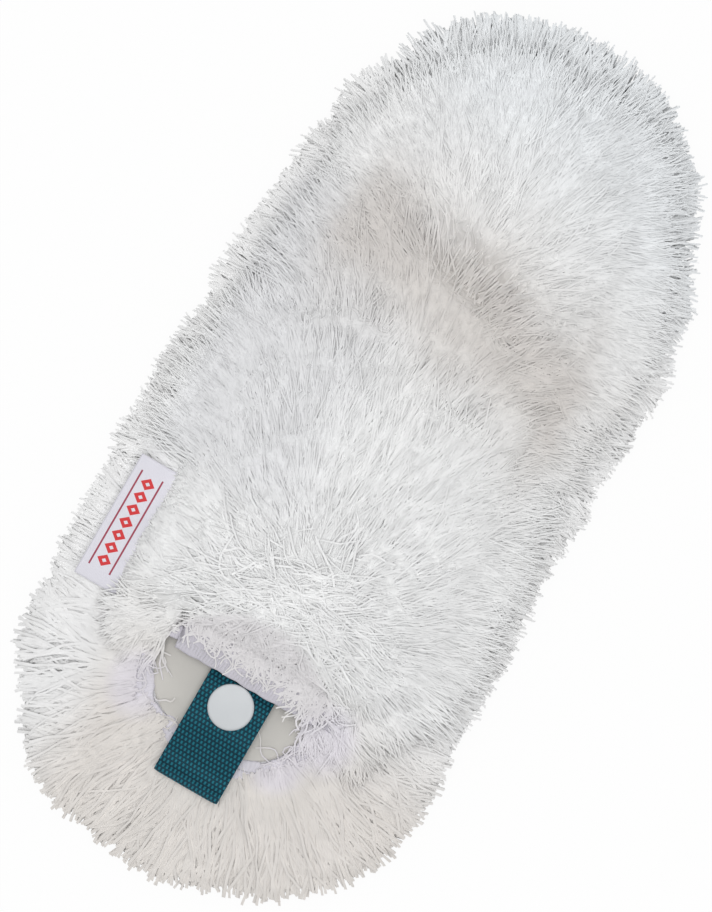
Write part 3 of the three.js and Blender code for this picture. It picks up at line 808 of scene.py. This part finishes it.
for name, strands in (("lip_loops", lipLoops), ("front_loops", frontLoops)):
    loops = pilePiece(name, strands, None, whiteYarn, None)
    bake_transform(loops)

# The dense inside of the pile: a bed of matted yarn a little below the tips of the strands,
# open at the mouth, so that the gaps between strands show yarn and not a hollow
bed = {"below": 0.55, "above": 2.6, "rim": 0.86, "thick": 0.8, "fallFrom": 0.55, "fall": 8.0, "around": 230, "out": 66,
       "lowest": 20.0, "highest": 18.8, "openMiddle": -77, "openSide": -84, "openHalf": 30}


def bedFall(x, y):  # how far both faces draw together towards the rim
    part = max(float(pileShare(x, y)) - bed["fallFrom"], 0) / (bed["rim"] - bed["fallFrom"])
    return bed["fall"] * part * part


def bedBottom(x, y):
    return min(float(level(lowField, x, y)) + bed["above"] + bedFall(x, y), bed["highest"])


def bedTop(x, y):
    top = float(level(topField, x, y) + locks(x, y)) - bed["below"] - bedFall(x, y)
    if float(panelShare(x, y)) < 1:
        top = max(top, float(upperSurface(x, y)) + 0.8 if x > fringes["sideFrom"] else bed["lowest"])
    return max(top, bedBottom(x, y) + 1.2)


def bedSheet(height):  # a round grid drawn out to the outline, merged at its middle and its seam
    sheet = bmesh.new()
    bmesh.ops.create_grid(sheet, x_segments=bed["around"], y_segments=bed["out"], size=1)
    for vert in sheet.verts:
        turn, part = (vert.co.x + 1) * math.pi, ((vert.co.y + 1) / 2) ** 0.85
        far = part * bed["rim"] * float(rimAt(turn))
        x, y = far * math.cos(turn), far * math.sin(turn)
        vert.co = (x * mm, y * mm, height(x, y) * mm)
    bmesh.ops.remove_doubles(sheet, verts=sheet.verts, dist=1e-6)
    return sheet


def inMouth(face):
    x, y = (v / mm for v in face.calc_center_median()[:2])
    front = bed["openMiddle"] if offMiddle(y) < bed["openHalf"] else bed["openSide"]
    return x < front and panelShare(x, y) < 1.03


def atRim(edge):
    return edge.is_boundary and all(pileShare(*vert.co[:2]) / mm > bed["rim"] - 0.004 for vert in edge.verts)


bedShape = bedSheet(bedTop)
bmesh.ops.delete(bedShape, geom=[face for face in bedShape.faces if inMouth(face)], context="FACES")
lowerMesh = shapeMesh("bedLower", bedSheet(bedBottom))
bedShape.from_mesh(lowerMesh)
bpy.data.meshes.remove(lowerMesh)
bmesh.ops.bridge_loops(bedShape, edges=[edge for edge in bedShape.edges if atRim(edge)])
bmesh.ops.recalc_face_normals(bedShape, faces=bedShape.faces)
bmesh.ops.solidify(bedShape, geom=bedShape.faces, thickness=bed["thick"] * mm)
matted = bedFinish("matted_yarn", yarnLook["white"])
addPiece("pile_bed", shapeMesh("pile_bed", bedShape), matted, [], "cover")
print("bed made")

# Cloth of the two layers. A sheet is a grid fitted to the outline, then thickened
clothLook = {"knit": (0.74, 0.74, 0.76), "cream": (0.68, 0.66, 0.62), "lilac": (0.62, 0.60, 0.66),
             # the pale lilac is a lighter copy of the lilac: painted light against the shade on the lower hem
             "lilacPaintedLight": (0.80, 0.775, 0.84), "thread": (0.74, 0.73, 0.77),
             "columns": 72, "rows": 28, "stripSides": 16}


def outlineHalf(x, inset):  # half width of the backing at x, that far in from its edge
    reach, side = pileShape["panelHalf"][0] - inset, pileShape["panelHalf"][1] - inset
    part = np.minimum(np.abs(x - pileShape["panelMiddle"]) / reach, 1)
    return side * (1 - part ** panelPower(x)) ** (1 / panelPower(x))


def panelSheet(name, fromX, toX, inset, height, thick, material, nodes):
    shape = bmesh.new()
    bmesh.ops.create_grid(shape, x_segments=clothLook["columns"], y_segments=clothLook["rows"], size=1)
    for vert in shape.verts:
        x = (fromX + toX) / 2 + (toX - fromX) / 2 * math.sin(vert.co.x * math.pi / 2)
        y = vert.co.y * float(outlineHalf(x, inset))
        vert.co = (x * mm, y * mm, height(x, y) * mm)
    bmesh.ops.remove_doubles(shape, verts=shape.verts, dist=1e-6)
    bmesh.ops.recalc_face_normals(shape, faces=shape.faces)
    if sum(face.normal.z for face in shape.faces) < 0:
        bmesh.ops.reverse_faces(shape, faces=shape.faces)
    area = sum(face.calc_area() for face in shape.faces)
    bmesh.ops.solidify(shape, geom=shape.faces, thickness=thick * mm)
    return addPiece(name, shapeMesh(name, shape), material, nodes, "cover"), area


def knitFinish(name, colour, size=1.3):
    finish = Finish(name, 0.85, 0.2)
    spot, x, y, z = finish.place()
    loops = (x + (y * (math.pi / size)).math("SINE") * 0.2 * size).wave(size) * y.wave(size * 0.8)
    worn = finish.noise(spot, 9, 3.0)
    finish.tint(colour, 0.86 + 0.10 * loops + 0.10 * worn)
    finish.bump(loops + worn * 0.6, 0.25)
    return finish.material


def liningFinish(name, colour):
    finish = Finish(name, 0.55, 0.35)
    spot, x, y, z = finish.place()
    weave = x.wave(0.42) * 0.5 + y.wave(0.36) * 0.5
    foldsAndShade = finish.noise(spot, 14)
    # the folds give relief through the bump and painted shade through the colour
    finish.tint(colour, 0.90 + 0.05 * weave + 0.12 * (foldsAndShade - 0.5))
    finish.bump(weave * 0.15 + foldsAndShade * 2.5, 0.3)
    return finish.material


def hemFinish(name, colour):
    finish = Finish(name, 0.8, 0.2)
    spot = finish.place()[0]
    drift, fine = finish.noise(spot, 5), finish.noise(spot, 0.7)
    ribs = (finish.stored("run") + drift * 1.2).wave(1.05)
    finish.tint(colour, 0.95 + 0.05 * ribs + 0.10 * (drift - 0.5) + 0.06 * (fine - 0.5))
    finish.bump(ribs * 0.22 + drift * 1.4 + fine * 0.4, 0.3)
    return finish.material


def threadFinish(name, colour):
    finish = Finish(name, 0.6)
    spot, x, y, z = finish.place()
    ply = (x + y + z).wave(0.35)
    finish.tint(colour, 0.84 + 0.16 * ply)
    finish.bump(ply, 0.08)
    return finish.material


knit = knitFinish("knit_backing", clothLook["knit"])
cream = liningFinish("cream_lining", clothLook["cream"])
lilac = hemFinish("lilac_hem", clothLook["lilac"])
# lighter copy of the lilac for the lower hem, painted light against the yarn's shade
lilacPaintedLight = hemFinish("lilac_hem_painted_light", clothLook["lilacPaintedLight"])
whiteThread = threadFinish("white_thread", clothLook["thread"])

under, area = panelSheet("lower_backing", hemLow[0] + 1, seamHigh[0] - 1, 1.0, lambda x, y: 21.1, 0.9, knit,
                         ["lower_panel"])
inner, area = panelSheet("mouth_lining", liningLow[0], liningHigh[0], 7.0,
                         lambda x, y: 21.75 + 0.16 * float(tuftNoise(x, y, 7, 61)), 0.4, cream,
                         ["lower_lining"])
topLining, area = panelSheet("pocket_lining", -78, seamHigh[0] - 14, 14.0, lambda x, y: 30.1, 0.4, cream,
                             ["upper_lining"])
backing, area = panelSheet("upper_backing", -78.7, seamHigh[0] - 0.5, 0.5,
                           lambda x, y: float(upperSurface(x, y)) - 0.1, 0.6, knit, ["upper_panel"])
print("cloth sheets made")


def bulged(part, power):  # draws the corners of a section out
    return math.copysign(abs(part) ** power, part)


# Hems and seam: a padded strip swept along its line, with uneven width as sewn cloth has
def sweptStrip(name, path, width, thick, material, nodes, body, widths=None):
    turns = [number * 2 * math.pi / clothLook["stripSides"] for number in range(clothLook["stripSides"])]
    section = sectionOf(name + "Section", [(bulged(math.cos(turn), 0.45) * width / 2 * mm,
                                            bulged(math.sin(turn), 0.7) * thick / 2 * mm) for turn in turns])
    mesh = sweep(name, section, path[None], (np.ones(len(path)) if widths is None else widths)[None], True)
    bpy.data.objects.remove(section)
    length = float(np.sum(np.linalg.norm(np.diff(path, axis=0), axis=1)))
    run = np.zeros(len(mesh.vertices))
    for loop, spot in zip(mesh.loops, mesh.uv_layers[0].data):
        run[loop.vertex_index] = spot.uv[0] * length
    store(mesh, "run", run)
    shape = bmesh.new()
    shape.from_mesh(mesh)
    bmesh.ops.remove_doubles(shape, verts=shape.verts, dist=1e-7)
    bmesh.ops.recalc_face_normals(shape, faces=shape.faces)
    addPiece(name, shapeMesh(name, shape), material, nodes, body)


def rimLine(inset, fromX, toX, steps, height):  # along the backing's edge, from left to right
    turn = np.linspace(0, 2 * math.pi, 721)
    reach, side = pileShape["panelHalf"][0] - inset, pileShape["panelHalf"][1] - inset
    power = np.where(np.cos(turn) < 0, pileShape["mouthPower"], pileShape["endPower"])
    x = pileShape["panelMiddle"] + np.sign(np.cos(turn)) * np.abs(np.cos(turn)) ** (2 / power) * reach
    y = np.sign(np.sin(turn)) * np.abs(np.sin(turn)) ** (2 / power) * side
    if toX > pileShape["panelMiddle"]:  # the line starts behind the mouth, so that no chord crosses it
        x, y = np.roll(x, 360), np.roll(y, 360)
    keep = (x >= fromX) & (x <= toX)
    x, y = x[keep], y[keep]
    far = np.concatenate([[0], np.cumsum(np.hypot(np.diff(x), np.diff(y)))])
    even = np.linspace(0, far[-1], steps)
    return np.stack([np.interp(even, far, x), np.interp(even, far, y), np.full(steps, height)], 1)


hems = {"inset": 3.6, "span": (-130, -88), "height": 21.6, "wide": 7.2, "thick": 1.7, "seamInset": 2.2,
        "seamSpan": (-88, 200), "seamHeight": 22.6, "seamWide": 4.2, "seamThick": 4.6, "lipThick": 1.6,
        "cornerThick": 1.2, "stitchHeight": 22.55, "lipFront": 31.45, "lipTop": 31.8, "crossStep": 1.15, "rowStep": 2.6}
hemLine = rimLine(hems["inset"], *hems["span"], 120, hems["height"])
drift = np.arange(len(hemLine))
hemLine[:, 0] += 0.5 * np.sin(drift * 0.33) + 0.35 * np.sin(drift * 0.71 + 1)
hemLine[:, 1] += 0.4 * np.sin(drift * 0.41 + 2)
hemLine[:, 2] += 0.15 * np.sin(drift * 0.55)
hemWidths = 1 + 0.09 * np.sin(drift * 0.62) + 0.06 * np.sin(drift * 1.3 + 1)
sweptStrip("lower_hem", hemLine, hems["wide"], hems["thick"], lilacPaintedLight, ["lower_mouth_hem"], "cover",
           hemWidths)
seamLine = rimLine(hems["seamInset"], *hems["seamSpan"], 220, hems["seamHeight"])
sweptStrip("seam_strip", seamLine, hems["seamWide"], hems["seamThick"], knit, ["side_seam"], "cover")

lipMiddle = (lipLow + lipHigh) / 2
lipY = np.linspace(lipHigh[1] - 0.4, lipLow[1] + 0.4, 44)
lipBow = 0.12 * np.sin(lipY * 0.21) + 0.15 * np.sin(lipY * 0.83 + 1)
lipLine = np.stack([lipMiddle[0] + lipBow, lipY, lipMiddle[2] + 0.1 * np.sin(lipY * 0.37)], 1)
lipWide = lipHigh[0] - lipLow[0]
sweptStrip("upper_hem", lipLine, lipWide, hems["lipThick"], lilac, ["upper_mouth_hem"], "mouth_lip")
hemCorners = {"left": (5.0, [(-84.4, 25.4, 31.1), (-85.0, 29.5, 30.3), (-86.0, 34, 26.8), (-86.8, 38, 21.5)]),
              "right": (6.4, [(-84.4, -29.2, 31.1), (-85.0, -32.5, 30.0), (-85.8, -36, 26.5), (-86.3, -39, 21.5)])}
for side, (width, corner) in hemCorners.items():
    line = np.stack([np.interp(np.linspace(0, 3, 20), range(4), places) for places in zip(*corner)], 1)
    sweptStrip("hem_corner_" + side, line, width, hems["cornerThick"], lilac, [], "cover")
print("hems made")


# Stitches: short arcs of thread that dip into the cloth at both ends
def stitchRow(name, starts, ends, rise, thick, nodes, body):
    t = np.linspace(0, 1, 5)[None, :, None]
    lines = starts[:, None, :] * (1 - t) + ends[:, None, :] * t
    lines[:, :, 2] += rise * np.sin(t[:, :, 0] * math.pi) - 0.25 * rise
    mesh = strandMesh(name, lines, np.full(lines.shape[:2], thick / 2), np.zeros(len(lines)), 0.5)
    addPiece(name, mesh, whiteThread, nodes, body)


def acrossLip(inward, y, height):  # places beside each other along the upper hem
    return np.stack([np.full(len(y), lipLow[0] + inward), y, np.full(len(y), height)], 1)


stitchLine = rimLine(hems["inset"], *hems["span"], 150, hems["stitchHeight"])
stitchRow("lower_hem_stitches", stitchLine[0:-1:2], stitchLine[1::2], 0.35, 0.5, ["lower_hem_thread"], "cover")
crossY = np.arange(lipHigh[1] - 1, lipLow[1] + 1, -hems["crossStep"])
rowStart = acrossLip(3.9, np.arange(lipHigh[1] - 1, lipLow[1] + 2.5, -hems["rowStep"]), hems["lipTop"])
starts = np.concatenate([acrossLip(0.25, crossY, hems["lipFront"]), rowStart])
ends = np.concatenate([acrossLip(3.9, crossY - 0.35, hems["lipTop"]), rowStart + (0, -2.1, 0)])
stitchRow("upper_hem_stitches", starts, ends, 0.3, 0.34, ["upper_hem_thread"], "mouth_lip")

# Strap: plain-woven webbing, its base sewn to the lining, its flap folded back over it
webbing = {"float": (0.016, 0.165, 0.222), "gap": (0.004, 0.036, 0.058), "pitch": 0.735, "period": 3.3, "wide": 0.68,
           "thick": 1.3, "foldX": -126.75, "foldSteps": 14, "sewnFrom": -85, "thread": (0.02, 0.13, 0.15),
           "flapX": (-120, -110, -100), "baseX": (-120, -110, -100, -89.6, -84.6, -75)}


def webbingFinish(name):
    finish = Finish(name, 0.6, 0.18)
    spot, x, y, z = finish.place()
    run = finish.stored("run")
    wobble = finish.noise(spot, 3.5, 1.0) - 0.5
    across = (y + wobble * 0.12) / webbing["pitch"]
    along = run / webbing["period"] + wobble * 0.10

    def floats(shift):  # every other column; the ones between lie half a step further on
        u = (((across + shift) * 0.5).math("FRACT") - 0.5) * 2 / webbing["wide"]
        v = ((along + shift * 0.5).math("FRACT") - 0.5) * 2
        return (1 - u * u * 1.05).math("MAXIMUM", 0.0) ** 0.5 * (1 - abs(v).over(0.22, 0.52))

    ridge = floats(0).math("MAXIMUM", floats(1))
    fibre = finish.noise(finish.join3(run * 0.5, y * 6, z), 1.0)
    finish.tint(finish.mix(ridge.over(0.15, 0.95), webbing["gap"], webbing["float"]), 0.72 + 0.56 * fibre)
    finish.bump(ridge + fibre * 0.12, 0.35)
    return finish.material


def webbingStart(low, high):  # a rounded section across the strap at its fold, as one face
    shape = bmesh.new()
    bmesh.ops.create_circle(shape, segments=28, radius=1, cap_ends=True)
    half, thick = (flapHigh[1] - flapLow[1]) / 2, (high - low) / 2
    for vert in shape.verts:
        y, z = bulged(vert.co.x, 0.25) * half, bulged(vert.co.y, 0.6) * thick
        vert.co = (webbing["foldX"] * mm, (y + (flapLow[1] + flapHigh[1]) / 2) * mm, (z + (low + high) / 2) * mm)
    return shape


def layRun(shape, stations):  # draws the section out from station to station, keeping the length run
    layer = shape.verts.layers.float.new("run")
    faces = list(shape.faces)
    place, run = stations[0]
    for vert in shape.verts:
        vert[layer] = run
    for nextPlace, nextRun in stations[1:]:
        drawn = bmesh.ops.extrude_face_region(shape, geom=faces)["geom"]
        moved = [item for item in drawn if isinstance(item, bmesh.types.BMVert)]
        bmesh.ops.translate(shape, verts=moved, vec=[(b - a) * mm for a, b in zip(place, nextPlace)])
        for vert in moved:
            vert[layer] = nextRun
        faces = [item for item in drawn if isinstance(item, bmesh.types.BMFace)]
        place = nextPlace
    bmesh.ops.recalc_face_normals(shape, faces=shape.faces)


teal = webbingFinish("teal_webbing")
foldX = webbing["foldX"]
drop = baseHigh[2] - baseLow[2] - webbing["thick"]  # how far the sewn part lies below the rest
base = webbingStart(baseHigh[2] - webbing["thick"], baseHigh[2])
baseX = (foldX, *webbing["baseX"], baseHigh[0])
layRun(base, [((x, 0, -drop if x > webbing["sewnFrom"] else 0), x - foldX) for x in baseX])
addPiece("strap_lower", shapeMesh("strap_lower", base), teal, ["strap_base"], "cover")
flap = webbingStart(flapLow[2], flapHigh[2])
bend = math.pi * (foldHigh[2] - foldLow[2] - webbing["thick"]) / 2
layRun(flap, [((x, 0, 0), foldX - x - bend) for x in (foldX, *webbing["flapX"], flapHigh[0])])
addPiece("strap_upper", shapeMesh("strap_upper", flap), teal, ["strap_flap"], "strap")
fold = webbingStart(baseHigh[2] - webbing["thick"], baseHigh[2])
centre = Vector((foldX, 0, (foldLow[2] + foldHigh[2]) / 2)) * mm
bmesh.ops.spin(fold, geom=list(fold.faces), cent=centre, axis=(0, 1, 0), angle=math.pi, steps=webbing["foldSteps"],
               use_merge=False)
bmesh.ops.remove_doubles(fold, verts=fold.verts, dist=1e-7)
layer = fold.verts.layers.float.new("run")
for vert in fold.verts:
    arm = vert.co - centre
    vert[layer] = -abs(math.atan2(-arm.x, -arm.z)) * bend / math.pi
bmesh.ops.recalc_face_normals(fold, faces=fold.faces)
turnPiece = addPiece("strap_turn", shapeMesh("strap_turn", fold), teal, ["strap_fold"])
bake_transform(turnPiece)

# Press stud: a smooth pale cap on top, plated metal below
stud = {"rise": 0.22, "rimRound": 0.55, "segments": 72, "cap": (0.49, 0.515, 0.535), "metal": (0.72, 0.73, 0.74)}


def plateFinish(name, colour, metallic, roughness, grain):
    finish = Finish(name, roughness)
    spot = finish.place()[0]
    fine, broad = finish.noise(spot, grain, 3.0) - 0.5, finish.noise(spot, grain * 12) - 0.5
    finish.tint(colour, 0.97 + 0.06 * broad + 0.03 * fine)
    finish.feed("Metallic", metallic)
    finish.feed("Roughness", roughness + 0.14 * broad + 0.05 * fine)
    finish.bump(fine, 0.02)
    return finish.material


capShape = bmesh.new()
radius, top, bottom = (capHigh[0] - capLow[0]) / 2, capHigh[2], capLow[2]
rounded = stud["rimRound"]
profile = [(0, top), (radius * 0.5, top - stud["rise"] * 0.3), (radius - rounded * 1.6, top - stud["rise"])]
profile += [(radius - rounded + rounded * math.sin(a), top - stud["rise"] - rounded * 0.55 * (1 - math.cos(a)))
            for a in np.linspace(0.3, math.pi / 2, 5)]
profile += [(radius - 0.05, bottom + 0.25), (radius - 0.35, bottom), (0, bottom)]
capX, capY = (capLow[0] + capHigh[0]) / 2, (capLow[1] + capHigh[1]) / 2
verts = [capShape.verts.new(((capX + r) * mm, capY * mm, z * mm)) for r, z in profile]
edges = [capShape.edges.new(pair) for pair in zip(verts, verts[1:])]
bmesh.ops.spin(capShape, geom=verts + edges, cent=(capX * mm, capY * mm, 0), axis=(0, 0, 1), angle=2 * math.pi,
               steps=stud["segments"], use_merge=True)
bmesh.ops.remove_doubles(capShape, verts=capShape.verts, dist=1e-6)
bmesh.ops.recalc_face_normals(capShape, faces=capShape.faces)
capWhite = plateFinish("snap_cap_white", stud["cap"], 0.0, 0.34, 0.5)
addPiece("stud_cap", shapeMesh("stud_cap", capShape), capWhite, ["snap_cap"], "strap")
plated = plateFinish("snap_plated", stud["metal"], 1.0, 0.28, 0.3)
dressed = {"snap_stud": plated, "snap_socket": plated, "snap_spring": plated, "snap_back_cap": plated,
           "strap_thread": threadFinish("teal_thread", webbing["thread"])}
for node, material in dressed.items():
    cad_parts[node].data.materials.clear()
    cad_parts[node].data.materials.append(material)
print("strap and press stud made")

# Label: woven ribbon with a row of small red diamonds between two thin lines
ribbonLook = {"ground": (0.81, 0.80, 0.87), "red": (0.70, 0.045, 0.05), "line": (0.36, 0.05, 0.09), "bandMiddle": 61.0,
              "diamondStep": 5.0, "diamondLong": 2.25, "diamondWide": 2.7, "heartLong": 0.75, "heartWide": 0.9,
              "diamondsEnd": 17.35, "lineAt": 4.05, "lineWide": 0.24, "linesEnd": 18.4, "thick": 0.4}
labelMiddle, labelHalf = (labelLow + labelHigh) / 2, (labelHigh - labelLow) / 2


def ribbonFinish(name):
    finish = Finish(name, 0.6, 0.3)
    x, y, front = (finish.stored(title) for title in ("flatX", "flatY", "front"))
    off, across = abs(x - labelMiddle[0]), y - ribbonLook["bandMiddle"]
    step = ((x - labelMiddle[0]) / ribbonLook["diamondStep"] + 0.5).math("FRACT") - 0.5

    def diamond(long, wide):  # above 0 inside
        return 1 - abs(step * ribbonLook["diamondStep"] / ribbonLook[long]) - abs(across / ribbonLook[wide])

    diamonds = diamond("diamondLong", "diamondWide").over(-0.04, 0.04)
    diamonds = diamonds * (1 - diamond("heartLong", "heartWide").over(-0.06, 0.06))
    diamonds = diamonds * (1 - off.over(ribbonLook["diamondsEnd"], ribbonLook["diamondsEnd"] + 0.15))
    edge = abs(abs(across) - ribbonLook["lineAt"]).over(ribbonLook["lineWide"], ribbonLook["lineWide"] + 0.16)
    lines = (1 - edge) * (1 - off.over(ribbonLook["linesEnd"], ribbonLook["linesEnd"] + 0.2))
    weave = x.wave(0.34) * 0.5 + y.wave(0.5) * 0.5
    foldsAndShade = finish.noise(finish.join3(x, y, front), 8)
    colour = finish.mix(diamonds * front, ribbonLook["ground"], ribbonLook["red"])
    colour = finish.mix(lines * front, colour, ribbonLook["line"])
    # the folds give relief through the bump and painted shade through the colour
    finish.tint(colour, 0.93 + 0.07 * weave + 0.08 * (foldsAndShade - 0.5))
    finish.bump(weave * 0.3 + foldsAndShade * 2, 0.2)
    return finish.material


ribbonShape = bmesh.new()
bmesh.ops.create_grid(ribbonShape, x_segments=60, y_segments=36, size=1)
for vert in ribbonShape.verts:
    x = labelMiddle[0] + vert.co.x * labelHalf[0]
    y = (rootLow[1] + labelHigh[1]) / 2 + vert.co.y * (labelHigh[1] - rootLow[1]) / 2
    loose = max(0, (y - rootHigh[1]) / (labelHigh[1] - rootHigh[1]))
    z = labelMiddle[2] + loose * (0.22 * math.sin(x * 0.16 + 1) + 0.12 * math.sin(x * 0.37 + y * 0.2))
    vert.co = (x * mm, y * mm, z * mm)
bmesh.ops.solidify(ribbonShape, geom=ribbonShape.faces, thickness=ribbonLook["thick"] * mm)
bmesh.ops.recalc_face_normals(ribbonShape, faces=ribbonShape.faces)
ribbon = addPiece("side_ribbon", shapeMesh("side_ribbon", ribbonShape), ribbonFinish("label_ribbon"),
                  ["label_root", "label_flap"])
store(ribbon.data, "flatX", [vert.co.x / mm for vert in ribbon.data.vertices])  # the motif keeps its place as it bends
store(ribbon.data, "flatY", [vert.co.y / mm for vert in ribbon.data.vertices])
store(ribbon.data, "front", [vert.normal.z > 0 for vert in ribbon.data.vertices])
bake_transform(ribbon)
bpy.data.objects.remove(yarnSection)
print("label made")

# Floor, light and the last lines
stage = {"floorSide": 3000, "floorZ": -0.2, "floor": (0.92, 0.92, 0.92), "glow": 0.95, "sky": 0.42,
         "keyPower": 11.6, "keySize": 0.7, "keyAt": (-60, 20, 1500)}
floorShape = bmesh.new()
bmesh.ops.create_grid(floorShape, x_segments=1, y_segments=1, size=stage["floorSide"] / 2 * mm)
bmesh.ops.translate(floorShape, verts=floorShape.verts, vec=(0, 0, stage["floorZ"] * mm))
floor = addObject("floor", shapeMesh("floor", floorShape))
pale = Finish("pale_floor", 1.0, 0.0)
pale.feed("Base Color", stage["floor"])
glow = pale.node("ShaderNodeEmission", {}, {"Color": (1, 1, 1), "Strength": 1.0})
lit = Wire(pale, pale.shader.outputs[0])
share = pale.node("ShaderNodeMixShader", {}, {0: pale.seen() * stage["glow"], 1: lit, 2: glow})
pale.join(pale.tree.nodes["Material Output"].inputs["Surface"], share)
floor.data.materials.append(pale.material)

world = bpy.data.worlds.new("studio")
world.use_nodes = True
bpy.context.scene.world = world
sky = Nodes(world.node_tree)
backdrop = sky.tree.nodes["Background"].inputs
sky.join(backdrop["Color"], (1, 1, 1))
sky.join(backdrop["Strength"], sky.seen() * (1 - stage["sky"]) + stage["sky"])  # white where seen, dimmer as light
keyLamp = bpy.data.lights.new("key", "AREA")
keyLamp.size, keyLamp.energy = stage["keySize"], stage["keyPower"]
key = addObject("key", keyLamp)
key.location = [v * mm for v in stage["keyAt"]]
key.rotation_euler = (-key.location).to_track_quat("-Z", "Y").to_euler()
bpy.context.scene.view_settings.view_transform = "Standard"
bpy.context.scene.cycles.diffuse_bounces = 16  # light has to find its way through the pile
bpy.context.scene.cycles.max_bounces = 20

bpy.context.view_layer.update()
